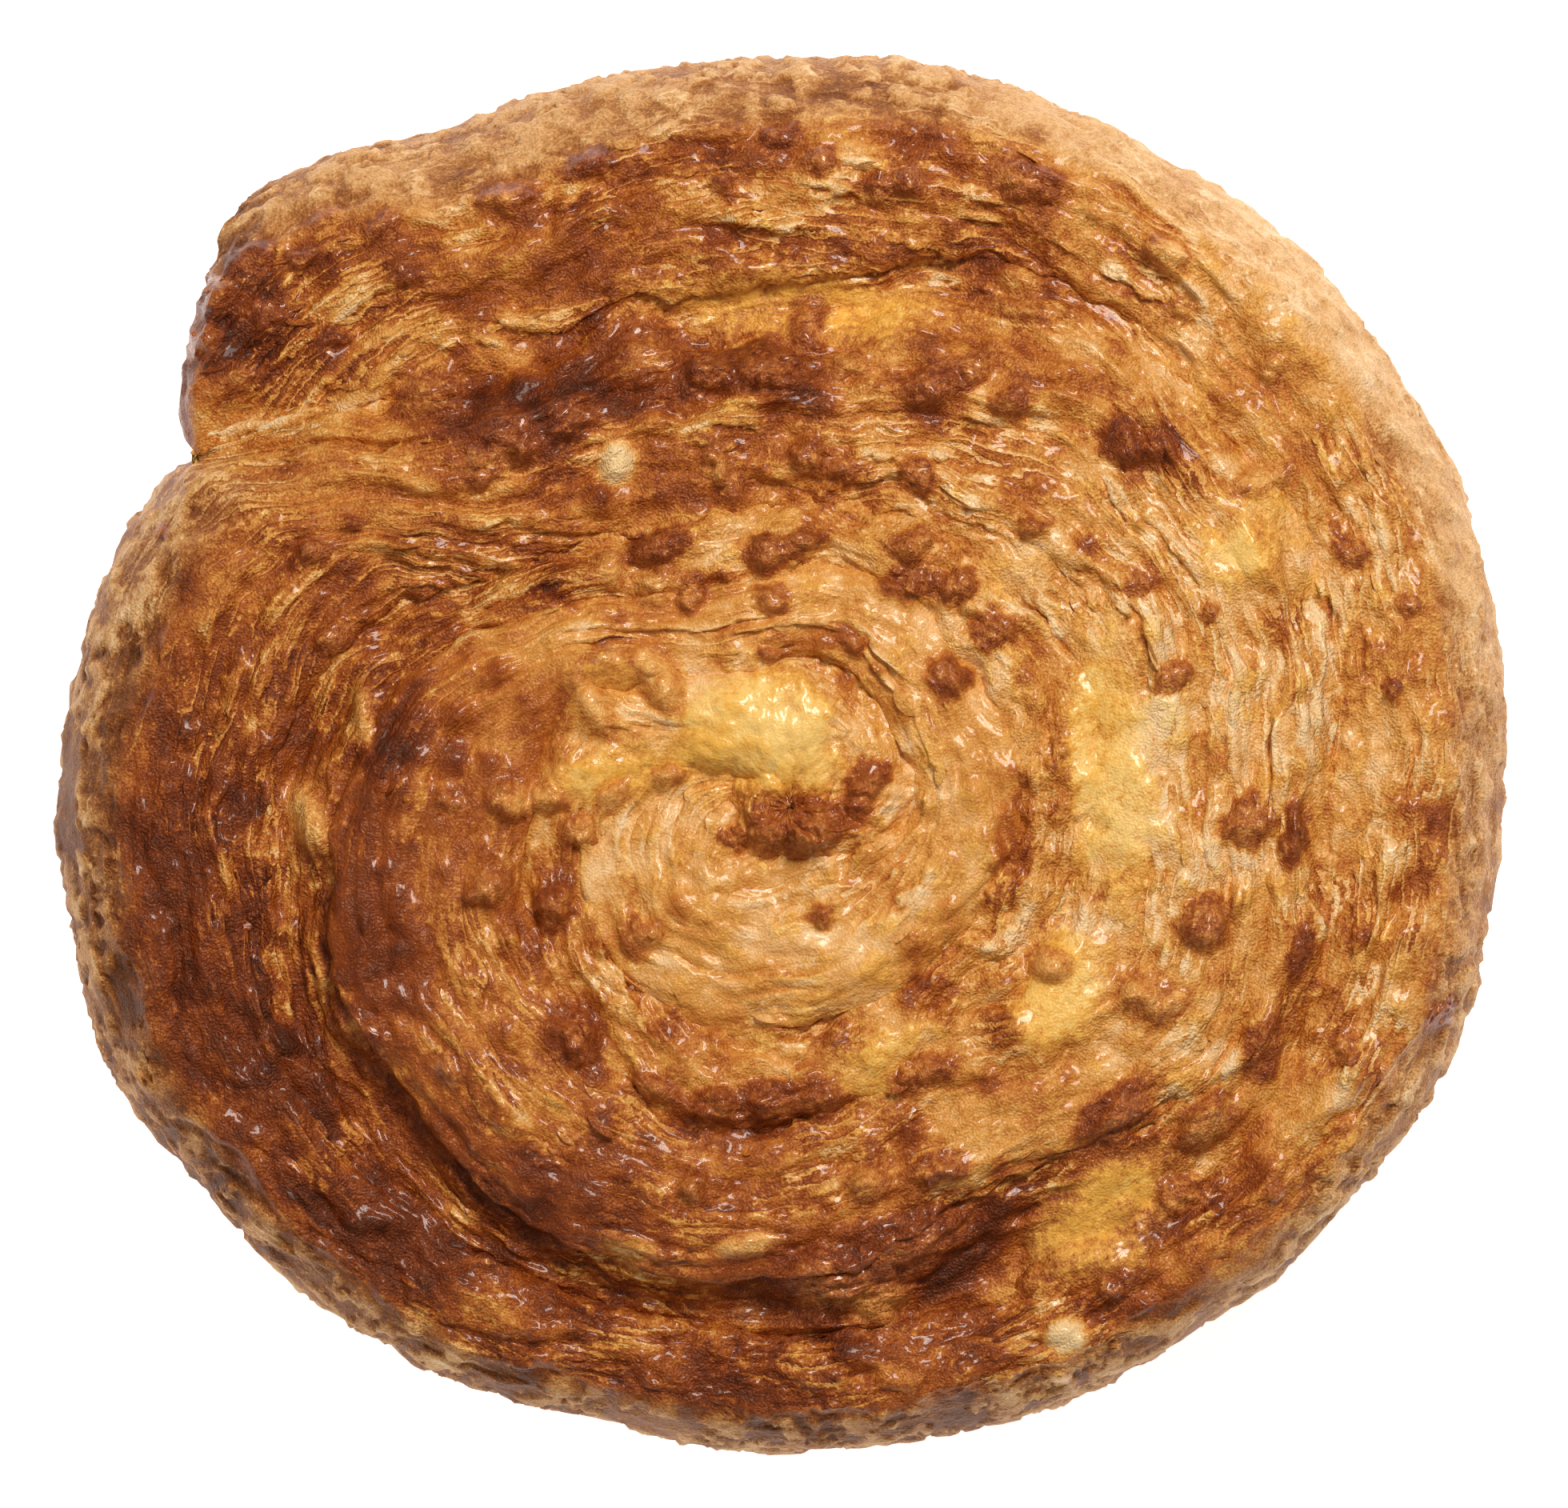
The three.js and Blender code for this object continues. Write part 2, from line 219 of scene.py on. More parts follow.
# Lumps of browned cheese fused to the top: x, y, half length, half width, turn, browning
LUMPS = [
    (-7.7, 13.2, 1.7, 1.4, 0, 0.50), (-5.0, 22.9, 3.4, 1.1, -65, 0.49), (-1.0, 12.5, 1.4, 1.3, 0, 0.50),
    (-1.6, 16.5, 2.0, 1.6, 0, 0.64), (1.4, 17.2, 2.4, 1.2, 15, 0.56), (5.4, 9.1, 1.2, 1.1, 0, 0.56),
    (13.4, 6.5, 2.0, 1.7, -20, 0.63), (10.4, 16.8, 1.8, 1.6, 0, 0.54), (10.1, 13.8, 2.2, 1.4, 10, 0.56),
    (13.8, 13.6, 1.6, 1.3, 0, 0.54), (11.1, 22.5, 1.5, 1.4, 0, 0.56), (2.0, 24.2, 1.8, 1.7, 20, 0.57),
    (4.9, 23.7, 1.5, 1.2, -10, 0.59), (18.4, 28.5, 1.7, 1.2, 0, 0.57), (20.4, 18.5, 1.4, 1.2, 0, 0.54),
    (30.6, 24.9, 1.7, 1.5, -40, 0.66), (27.8, 25.6, 1.6, 2.2, 10, 0.69), (46.5, 16.5, 1.5, 1.3, 0, 0.57),
    (31.8, 6.5, 1.4, 1.3, 0, 0.50), (34.8, 11.8, 1.0, 0.9, 0, 0.52), (29.1, 13.8, 1.5, 1.0, 20, 0.53),
    (34.2, -14.0, 2.5, 2.1, 60, 0.56), (6.7, -35.0, 1.9, 1.5, -15, 0.47), (3.0, -13.3, 1.0, 0.9, 0, 0.52),
    (-11.7, -15.0, 1.9, 1.5, 10, 0.49), (-22.7, -3.9, 2.0, 1.9, 0, 0.51), (46.2, -24.3, 1.5, 1.3, 0, 0.54),
    (40.2, -36.0, 0.9, 0.8, 0, 0.52), (-35.4, 18.8, 1.0, 0.9, 0, 0.66), (-38.8, 16.8, 1.7, 1.5, 0, 0.57),
    (-51.2, 18.2, 0.6, 0.6, 0, 0.56), (51.2, 12.1, 0.9, 0.8, 0, 0.57), (49.9, 5.1, 1.0, 1.0, 0, 0.60),
    (-27.4, -3.9, 1.0, 1.0, 0, 0.54), (-37.1, 34.2, 1.3, 1.2, 0, 0.70), (-0.3, 51.0, 1.7, 0.9, 10, 0.66),
    (-24.4, -10.9, 1.9, 1.8, 0, 0.51), (-18.7, -12.3, 2.6, 1.7, 75, 0.62),
    (-17.0, -23.0, 2.6, 2.1, -70, 0.67),
    (-27.4, -25.7, 1.7, 1.5, 0, 0.54), (-35.1, -22.3, 2.6, 1.7, -30, 0.63), (-37.1, 9.5, 1.3, 1.3, 0, 0.56),
    (37.9, -5.6, 2.4, 1.9, 70, 0.54), (41.9, -6.6, 3.0, 1.2, 80, 0.63), (29.2, -19.6, 2.4, 1.9, -20, 0.46),
    (42.5, -16.0, 2.4, 1.0, 80, 0.64), (39.5, -24.3, 3.0, 1.6, 65, 0.60), (34.8, -30.4, 3.0, 2.2, 40, 0.54),
    (27.5, -29.3, 3.8, 1.9, 42, 0.63), (32.5, -36.0, 2.0, 1.8, 0, 0.56), (54.2, -21.3, 1.7, 1.0, 70, 0.60),
    (-5.3, -29.0, 2.2, 1.7, 0, 0.62), (-1.2, -28.6, 2.3, 1.9, 10, 0.66), (2.8, -28.2, 2.2, 1.7, 10, 0.60),
    (-10.5, -27.6, 2.6, 1.3, -25, 0.57), (11.4, -26.0, 3.0, 1.6, 20, 0.53), (12.4, -34.0, 2.8, 1.3, 15, 0.57),
    (-7.7, -35.7, 1.4, 1.3, 60, 0.53), (27.5, -43.7, 1.8, 1.2, -15, 0.63), (-10.7, 16.8, 2.7, 1.5, 10, 0.63),
    (17.4, 10.1, 2.0, 1.6, 0, 0.57), (-1.0, 8.1, 1.2, 0.8, 0, 0.49), (-31.4, 39.6, 1.2, 1.0, 0, 0.60),
    (-16.0, 48.6, 2.3, 1.3, 20, 0.63), (-22.7, 45.6, 2.7, 1.6, 15, 0.57), (19.8, 46.9, 3.3, 2.0, -25, 0.60),
    (2.0, -5.9, 2.6, 2.3, 0, 0.60), (6.7, -2.9, 2.4, 1.5, 70, 0.59), (-1.3, -6.6, 1.8, 1.4, 0, 0.57),
    (-4.2, -6.9, 1.4, 1.0, 20, 0.54), (2.0, 35.6, 3.0, 1.7, 80, 0.59), (-1.3, 31.6, 3.0, 2.0, 10, 0.67),
    (-6.0, 31.6, 2.2, 2.0, 0, 0.69), (-11.3, 32.9, 3.8, 2.8, 10, 0.64), (12.1, 30.2, 2.7, 2.0, 20, 0.63),
    (15.4, 31.6, 1.7, 1.3, 60, 0.57), (7.6, 46.6, 1.3, 1.1, 0, 0.56), (-5.0, 46.6, 1.2, 1.0, 0, 0.57),
    (3.0, 48.5, 1.6, 1.2, 10, 0.54), (10.3, 47.0, 1.5, 1.2, 0, 0.57), (30.0, 41.6, 1.2, 1.2, 0, 0.49),
    (32.5, 36.2, 1.4, 1.2, 0, 0.46), (5.4, 31.9, 1.5, 1.2, 0, 0.38), (-29.0, 29.5, 3.4, 2.2, 20, 0.60),
    (-22.0, 26.0, 3.4, 2.4, -20, 0.73), (-24.8, 23.6, 2.4, 1.6, 20, 0.57), (-17.4, 27.6, 2.6, 2.0, 30, 0.70),
    (3.4, -43.8, 5.2, 3.4, 0, 0.72), (10.6, -40.4, 5.4, 2.6, 18, 0.70), (8.0, -45.0, 3.2, 2.6, 20, 0.56),
    (-19.8, -3.6, 2.2, 1.2, 0, 0.36), (-14.0, -3.6, 1.7, 1.1, 20, 0.34), (-9.6, -1.8, 1.4, 1.0, 0, 0.38),
    (-16.8, -6.2, 1.5, 1.2, 0, 0.44), (-47.0, 38.0, 2.0, 1.6, 20, 0.62), (-44.0, 41.0, 1.8, 1.4, 0, 0.66),
    (-48.0, 34.0, 1.7, 1.5, 0, 0.58), (-43.0, 36.4, 2.2, 1.6, -20, 0.70), (-40.0, 40.6, 1.5, 1.3, 0, 0.60),
    (-45.0, 31.0, 1.5, 1.2, 0, 0.52), (-37.6, 44.2, 1.5, 1.2, 0, 0.45), (-33.0, 43.4, 1.6, 1.2, 10, 0.55),
]
# Paler nibs with clean outlines, in the same terms
NIBS = [
    (-13.7, 23.9, 2.2, 1.7, 70, 0.02), (23.1, -47.8, 1.9, 1.6, 10, -0.05), (31.8, 40.9, 1.8, 1.4, 80, 0.26),
    (19.4, 38.9, 2.2, 1.2, -10, 0.42), (19.1, 36.6, 3.0, 1.0, -15, 0.49), (-39.1, -5.3, 3.7, 1.8, -62, 0.34),
    (29.8, 27.9, 1.2, 0.9, 0, 0.38), (39.9, 31.6, 1.4, 1.2, 60, 0.38), (39.2, 22.5, 3.0, 1.3, 15, 0.32),
    (-10.3, 6.1, 3.2, 1.7, -62, 0.30), (-15.7, 4.1, 3.2, 1.1, -60, 0.30), (-14.4, 15.2, 1.9, 1.3, -75, 0.34),
    (-10.7, 13.8, 2.1, 1.6, 0, 0.38), (22.8, -51.1, 0.8, 0.7, 0, 0.16), (-3.0, -40.1, 3.0, 1.2, 10, 0.30),
    (21.9, -17.4, 1.9, 1.6, 0, 0.32), (31.4, -20.6, 2.0, 1.2, 30, 0.36), (-34.4, 3.2, 3.0, 0.8, -80, 0.30),
]

# Share of the strip's triangles that is kept when its plain parts are thinned
STRIP_KEPT = 0.212

# Spacing of the rolled layers and height of the relief, in millimetres
LAYER_PITCH = 2.0
LAYER_LIFT = 0.80
BLISTER_LIFT = 0.35
SWELL_LIFT = 0.8
LUMP_LIFT = 0.98
RIDGE_LIFT = 4.0
POOL_LIFT = 1.0

# Cells of seeded lumps, and of crags, in each millimetre
SEEDED_EACH_MM = 0.27
CRAGS_EACH_MM = 0.55

# Browning from cream to burnt, as seen colours
TOASTING = [
    (0.00, "#fdd5a0"), (0.15, "#f1b976"), (0.29, "#dd9947"), (0.42, "#c6752d"), (0.54, "#a4521b"),
    (0.67, "#863b12"), (0.81, "#692a0c"), (1.00, "#4c1c08"),
]
CHEESE_TOASTING = [
    (0.00, "#ffd27c"), (0.22, "#f7b74c"), (0.40, "#de9a46"), (0.55, "#b46128"), (0.70, "#87421c"),
    (0.85, "#642d14"), (1.00, "#49200e"),
]
# Toasted lumps and nibs
NIB_TOASTING = [
    (0.00, "#fdd69c"), (0.20, "#f0b464"), (0.36, "#d98f42"), (0.50, "#b5662e"), (0.64, "#90431c"),
    (0.80, "#672c12"), (1.00, "#491e0c"),
]
# The leathery skin of the outer wall
SKIN_TOASTING = [
    (0.00, "#fddab0"), (0.16, "#efc088"), (0.32, "#d79e60"), (0.46, "#b07038"), (0.58, "#8b4f22"),
    (0.72, "#6a3615"), (1.00, "#47220c"),
]

# Finish of everything baked: a little light goes in, and a thin coat of grease lies on it
BAKED_FINISH = {
    "Subsurface Weight": 0.10,
    "Subsurface Radius": (1.0, 0.55, 0.30),
    "Subsurface Scale": 0.0010,
    "Specular IOR Level": 0.36,
    "Specular Tint": (1.0, 0.84, 0.66, 1.0),
    "Coat Roughness": 0.11,
}
BUMP_STRENGTH = 0.80
BUMP_DEPTH = 0.0005

# Studio, in metres
FLOOR_SIDE = 1.5
FLOOR_FINISH = {
    "Base Color": (0.85, 0.85, 0.85, 1.0),
    "Roughness": 0.9,
    "Emission Color": (1.0, 1.0, 1.0, 1.0),
    "Emission Strength": 0.85,
}
ROOM_COLOUR = (1.0, 0.93, 0.84, 1.0)
ROOM_STRENGTH = 0.16
LAMP_COLOUR = (1.0, 0.97, 0.93)
CAMERA_LENS = 250.0
CAMERA_FILM = 36.0
CAMERA_HEIGHT = 0.922


def paint(seen):
    """A seen colour as the light-linear colour that a shader takes."""
    parts = [int(seen[i : i + 2], 16) / 255 for i in (1, 3, 5)]
    return [p / 12.92 if p <= 0.04045 else ((p + 0.055) / 1.055) ** 2.4 for p in parts] + [1.0]


class Wire:
    """One value in a node tree. Arithmetic with it adds Math nodes."""

    def __init__(self, desk, socket):
        self.desk = desk
        self.socket = socket

    def __add__(self, other):
        return self.desk.math("ADD", self, other)

    def __radd__(self, other):
        return self.desk.math("ADD", other, self)

    def __sub__(self, other):
        return self.desk.math("SUBTRACT", self, other)

    def __rsub__(self, other):
        return self.desk.math("SUBTRACT", other, self)

    def __mul__(self, other):
        return self.desk.math("MULTIPLY", self, other)

    def __rmul__(self, other):
        return self.desk.math("MULTIPLY", other, self)

    def __truediv__(self, other):
        return self.desk.math("DIVIDE", self, other)

    def __pow__(self, other):
        return self.desk.math("POWER", self, other)


class Desk:
    """A node tree being wired: adds nodes, feeds their sockets and does arithmetic with what comes out."""

    def __init__(self, tree):
        self.tree = tree

    def node(self, kind, feeds=None, **settings):
        made = self.tree.nodes.new(kind)
        for name, value in settings.items():
            setattr(made, name, value)
        for key, value in (feeds or {}).items():
            self.feed(made.inputs[key], value)
        return made

    def feed(self, socket, value):
        if isinstance(value, Wire):
            self.tree.links.new(value.socket, socket)
        else:
            socket.default_value = value

    def wire(self, kind, feeds=None, out=0, **settings):
        return Wire(self, self.node(kind, feeds, **settings).outputs[out])

    def math(self, operation, *values):
        return self.wire("ShaderNodeMath", dict(enumerate(values)), operation=operation)

    def vmath(self, operation, *values, out=0):
        return self.wire("ShaderNodeVectorMath", dict(enumerate(values)), out=out, operation=operation)

    def scaled(self, vector, factor):
        return self.wire("ShaderNodeVectorMath", {0: vector, "Scale": factor}, operation="SCALE")

    def vector(self, x=0.0, y=0.0, z=0.0):
        return self.wire("ShaderNodeCombineXYZ", {0: x, 1: y, 2: z})

    def parts(self, vector):
        made = self.node("ShaderNodeSeparateXYZ", {0: vector})
        return [Wire(self, socket) for socket in made.outputs]

    def span(self, value, low, high, to_low=0.0, to_high=1.0, smooth=True):
        feeds = {0: value, 1: low, 2: high, 3: to_low, 4: to_high}
        kind = "SMOOTHSTEP" if smooth else "LINEAR"
        return self.wire("ShaderNodeMapRange", feeds, interpolation_type=kind, clamp=True)

    def clamp(self, value):
        return self.span(value, 0.0, 1.0, smooth=False)

    def mix(self, factor, first, second):
        return self.wire("ShaderNodeMix", {0: factor, 2: first, 3: second}, data_type="FLOAT")

    def tint(self, factor, first, second):
        feeds = {0: factor, 6: first, 7: second}
        return self.wire("ShaderNodeMix", feeds, out=2, data_type="RGBA", blend_type="MIX")

    def noise(self, vector, scale=1.0, detail=2.0, rough=0.5):
        feeds = {"Vector": vector, "Scale": scale, "Detail": detail, "Roughness": rough}
        return self.wire("ShaderNodeTexNoise", feeds, noise_dimensions="3D")

    def noise_vector(self, vector, scale=1.0, detail=2.0):
        feeds = {"Vector": vector, "Scale": scale, "Detail": detail}
        return self.wire("ShaderNodeTexNoise", feeds, out=1, noise_dimensions="3D")

    def cells(self, vector, scale, feature="F1"):
        feeds = {"Vector": vector, "Scale": scale}
        return self.node("ShaderNodeTexVoronoi", feeds, feature=feature, voronoi_dimensions="3D")

    def law(self, wound, knots, reach=KNOT_REACH):
        """A smooth curve through (degrees, value) knots."""
        values = [value for _, value in knots]
        low, high = min(values), max(values)
        curve = self.node("ShaderNodeFloatCurve", {"Value": wound / reach})
        points = curve.mapping.curves[0].points
        for _ in knots[2:]:
            points.new(0.5, 0.5)
        for point, (degrees, value) in zip(points, knots):
            point.location = (degrees / reach, (value - low) / (high - low))
            point.handle_type = "AUTO_CLAMPED"
        curve.mapping.update()
        return Wire(self, curve.outputs[0]) * (high - low) + low

    def ramp(self, value, stops):
        made = self.node("ShaderNodeValToRGB", {0: value})
        elements = made.color_ramp.elements
        for place, _ in stops[2:]:
            elements.new(place)
        for element, (place, seen) in zip(elements, stops):
            element.position = place
            element.color = paint(seen)
        return Wire(self, made.outputs[0])

    def group(self, tree, feeds):
        kind = tree.bl_idname.replace("Tree", "Group")
        made = self.node(kind, feeds, node_tree=tree)
        return {socket.name: Wire(self, socket) for socket in made.outputs}

    def stored(self, name, kind="FLOAT"):
        """A named attribute, read back inside a geometry tree."""
        return self.wire("GeometryNodeInputNamedAttribute", {"Name": name}, data_type=kind)

    def store(self, geometry, name, value, kind="FLOAT"):
        feeds = {"Geometry": geometry, "Name": name, "Value": value}
        return self.wire("GeometryNodeStoreNamedAttribute", feeds, data_type=kind, domain="POINT")

    def store_three(self, geometry, name, x, y=0.0, z=0.0):
        return self.store(geometry, name, self.vector(x, y, z), "FLOAT_VECTOR")

    def three(self, name):
        """The three parts of a named attribute, read back inside a geometry tree."""
        return self.parts(self.stored(name, "FLOAT_VECTOR"))

    def painted(self, name, out="Fac"):
        """A named attribute, read in a material."""
        return self.wire("ShaderNodeAttribute", out=out, attribute_name=name)

    def painted_three(self, name):
        return self.parts(self.painted(name, "Vector"))

    def position(self):
        return self.wire("GeometryNodeInputPosition")


FLOAT = "NodeSocketFloat"
INT = "NodeSocketInt"
VECTOR = "NodeSocketVector"
GEOMETRY = "NodeSocketGeometry"
MATERIAL = "NodeSocketMaterial"
OBJECT = "NodeSocketObject"
COLOUR = "NodeSocketColor"


def new_tree(name, inputs, outputs=(("Geometry", GEOMETRY),), kind="GeometryNodeTree"):
    """A node tree with named inputs (name, socket kind, value) and outputs (name, socket kind)."""
    tree = bpy.data.node_groups.new(name, kind)
    for label, socket, value in inputs:
        made = tree.interface.new_socket(label, in_out="INPUT", socket_type=socket)
        if value is not None:
            made.default_value = value
    for label, socket in outputs:
        tree.interface.new_socket(label, in_out="OUTPUT", socket_type=socket)
    desk = Desk(tree)
    entry = tree.nodes.new("NodeGroupInput")
    given = {socket.name: Wire(desk, socket) for socket in entry.outputs if socket.name}
    leave = tree.nodes.new("NodeGroupOutput")
    return tree, desk, given, leave


def rolled_layers():
    """Layers of the rolled dough on its cut face, counted across the strip and wandering along it."""
    inputs = [("Along", FLOAT, 0.0), ("Lane", FLOAT, 0.0)]
    inputs += [("Pitch", FLOAT, LAYER_PITCH), ("Seed", FLOAT, 0.0)]
    outputs = [("Part", FLOAT), ("Stand", FLOAT), ("Lip", FLOAT)]
    tree, desk, given, leave = new_tree("rolled layers", inputs, outputs)
    along, lane, seed = given["Along"], given["Lane"], given["Seed"]
    drift = desk.noise(desk.vector(along * 0.02, lane * 0.09, seed + 0.37), detail=2.0) - 0.5
    wander = desk.noise(desk.vector(along * 0.08, lane * 0.26, seed + 7.41), detail=3.0) - 0.5
    fray = desk.noise(desk.vector(along * 0.42, lane * 0.65, seed + 29.3), detail=2.0) - 0.5
    strata = (lane * 0.9 + drift * 9.0 + wander * 4.5 + fray * 1.5) / given["Pitch"]
    number = desk.math("FLOOR", strata)
    part = strata - number
    spot = desk.vector(along * 0.14 + number * 3.7, number * 5.31, seed + 13.6)
    stand = desk.span(desk.noise(spot, detail=2.0), 0.36, 0.64)
    lip = desk.span(part, 0.50, 0.90) * desk.span(part, 1.0, 0.94) * desk.span(stand, 0.30, 0.70)
    for label, value in (("Part", part), ("Stand", stand), ("Lip", lip)):
        desk.feed(leave.inputs[label], value)
    return tree


def oval_reach(desk, given):
    """How far out in a turned oval a place is: 0 at its middle and 1 at its edge."""
    arm = desk.vmath("SUBTRACT", given["Place"], given["Centre"])
    turn = {"Vector": arm, "Angle": given["Turn"] * -1.0}
    turned = desk.wire("ShaderNodeVectorRotate", turn, rotation_type="Z_AXIS")
    return desk.vmath("LENGTH", desk.vmath("DIVIDE", turned, given["Size"]), out=1)


OVAL = [("Place", VECTOR, None), ("Centre", VECTOR, None), ("Size", VECTOR, None), ("Turn", FLOAT, 0.0)]


def soft_patch():
    """A soft oval patch laid on the top: strongest in its middle, nothing beyond its edge."""
    inputs = OVAL + [("Strength", FLOAT, 1.0)]
    tree, desk, given, leave = new_tree("soft patch", inputs, [("Amount", FLOAT)])
    desk.feed(leave.inputs["Amount"], desk.span(oval_reach(desk, given), 1.15, 0.35) * given["Strength"])
    return tree


def round_lump():
    """A rounded lump: how high it stands at a place, and whether it covers the place."""
    inputs = OVAL + [("Rise", FLOAT, 1.0)]
    outputs = [("Height", FLOAT), ("Cover", FLOAT)]
    tree, desk, given, leave = new_tree("round lump", inputs, outputs)
    reach = oval_reach(desk, given)
    dome = desk.span(reach, 1.18, 0.22)
    desk.feed(leave.inputs["Height"], dome * given["Rise"])
    desk.feed(leave.inputs["Cover"], desk.span(reach, 1.60, 0.55))
    return tree


layer_tree = rolled_layers()
patch_tree = soft_patch()
lump_tree = round_lump()


def oval(place, x, y, length, width, turn):
    """Inputs of a turned oval, whose turn is in degrees."""
    return {"Place": place, "Centre": (x, y, 0.0), "Size": (length, width, 1.0), "Turn": math.radians(turn)}


def patches(desk, place, listed):
    """The sum of soft patches at a place on the top."""
    total = 0.0
    for x, y, length, width, turn, strength in listed:
        feeds = oval(place, x, y, length, width, turn)
        total = desk.group(patch_tree, {**feeds, "Strength": strength})["Amount"] + total
    return total


def lumps(desk, place, listed):
    """The height, cover and browning of the lumps at a place on the top."""
    height, cover, tone = 0.0, 0.0, 0.5
    for x, y, length, width, turn, shade in listed:
        feeds = oval(place, x, y, length, width, turn)
        lump = desk.group(lump_tree, {**feeds, "Rise": LUMP_LIFT * width ** 0.75})
        height = desk.math("MAXIMUM", lump["Height"], height)
        cover = desk.math("MAXIMUM", lump["Cover"], cover)
        tone = desk.mix(lump["Cover"], tone, shade)
    return height, cover, tone


def coil_laws(desk, wound):
    """The filling's middle line and width, and the dough's crest, after winding in by so many degrees."""
    return desk.law(wound, SEAM), desk.law(wound, FILLING_WIDTH), desk.law(wound, CREST)


def wind(desk, wound, distance, height):
    """A point of the coil at a distance from its centre."""
    bearing = (NOTCH_BEARING - wound) * math.radians(1)
    x = COIL_CENTRE[0] + distance * desk.math("COSINE", bearing)
    y = COIL_CENTRE[1] + distance * desk.math("SINE", bearing)
    return desk.vector(x, y, height)


def uneven(desk, place):
    """A place in the coil, strayed as the dough did when it was rolled and when it swelled in the oven."""
    spot = desk.vmath("MULTIPLY", place, (1.0, 1.0, 0.35))
    stray = desk.vmath("SUBTRACT", desk.noise_vector(spot, 0.085, 2.0), (0.5, 0.5, 0.5))
    away = desk.vmath("LENGTH", desk.vmath("MULTIPLY", place, (1.0, 1.0, 0.0)), out=1)
    stray = desk.scaled(stray, desk.span(away, 36.0, 54.0, 5.0, 1.6))
    return desk.vmath("ADD", place, desk.vmath("MULTIPLY", stray, (1.0, 1.0, 0.0)))


def flat_place(desk, fray, scale):
    """The place on the top seen from above, frayed so that what is laid on it has uneven edges."""
    position = desk.position()
    stray = desk.noise_vector(desk.vmath("ADD", position, (17.0, 5.0, 3.0)), scale, 3.0)
    stray = desk.scaled(desk.vmath("SUBTRACT", stray, (0.5, 0.5, 0.5)), fray)
    return desk.vmath("MULTIPLY", desk.vmath("ADD", position, stray), (1.0, 1.0, 0.0))


def oven_marks(desk, mesh):
    """Stores what lies on the top: melted cheese, patches of browning with some painted crease shade, toasted
    lumps and mottling.
    """
    position = desk.position()
    place = flat_place(desk, 4.5, 0.28)
    cheesy = desk.clamp(patches(desk, place, CHEESY))
    glazed = patches(desk, place, GLAZED)
    mesh = desk.store_three(mesh, "marks", cheesy, patches(desk, place, BROWNED_AND_SHADED), glazed)
    height, cover, tone = lumps(desk, flat_place(desk, 3.0, 0.55), LUMPS)
    nib_height, nib_cover, nib_tone = lumps(desk, flat_place(desk, 0.8, 0.5), NIBS)
    height = desk.math("MAXIMUM", height, nib_height)
    tone = desk.mix(nib_cover, tone, nib_tone)
    cover = desk.math("MAXIMUM", cover, nib_cover)
    mesh = desk.store_three(mesh, "lumps", height, cover, tone)
    blotch = desk.noise(position, 0.16, 3.0, 0.6) - 0.5
    mottle = desk.noise(desk.vmath("ADD", position, (9.0, 0.0, 0.0)), 0.40, 3.0, 0.65) - 0.5
    swell = desk.noise(desk.vmath("ADD", position, (0.0, 0.0, 31.0)), 0.11, 3.0) - 0.5
    mesh = desk.store_three(mesh, "mottling", blotch, mottle, swell)

    # Seeded lumps, more of them where the top is darker from browning and painted crease shade
    blotch, mottle, _ = desk.three("mottling")
    _, browned_and_shaded, _ = desk.three("marks")
    height, _, tone = desk.three("lumps")
    cell = desk.cells(position, SEEDED_EACH_MM)
    size, pick, _ = desk.parts(Wire(desk, cell.outputs["Color"]))
    away = Wire(desk, cell.outputs["Distance"]) / SEEDED_EACH_MM + mottle * 3.0
    often = desk.span(pick + browned_and_shaded * 0.5 + blotch * 0.9, 0.56, 0.72)
    seeded = desk.span(away, 1.0 + size * 1.4, 0.1) * often
    craggy = Wire(desk, desk.cells(position, CRAGS_EACH_MM, "SMOOTH_F1").outputs["Distance"])
    crag = desk.span(craggy, 0.8, 0.15) * desk.span(browned_and_shaded, 0.05, 0.4)
    mesh = desk.store_three(mesh, "seeded", seeded, crag)
    seeded, crag, _ = desk.three("seeded")
    # Browning of the top, which also carries the painted shade of the crease lines
    toast = blotch * 0.72 + mottle * 0.55 + seeded * 0.18 + browned_and_shaded * 0.58 + crag * 0.05
    mesh = desk.store(mesh, "toast", toast)
    knobbly = desk.noise(position, 1.1, 2.0) - 0.5
    dome = height * (1.0 + knobbly * desk.span(tone, 0.3, 0.5, 0.3, 1.5))
    return desk.store(mesh, "rise", desk.math("MAXIMUM", dome, seeded * (0.3 + size * 0.6)) + crag * 0.5)


def grid_steps(desk, rings, points):
    """A flat grid with its two running shares, along and around."""
    grid = desk.node("GeometryNodeMeshGrid", {"Vertices X": rings, "Vertices Y": points})
    x, y, _ = desk.parts(desk.position())
    return Wire(desk, grid.outputs[0]), x + 0.5, y + 0.5


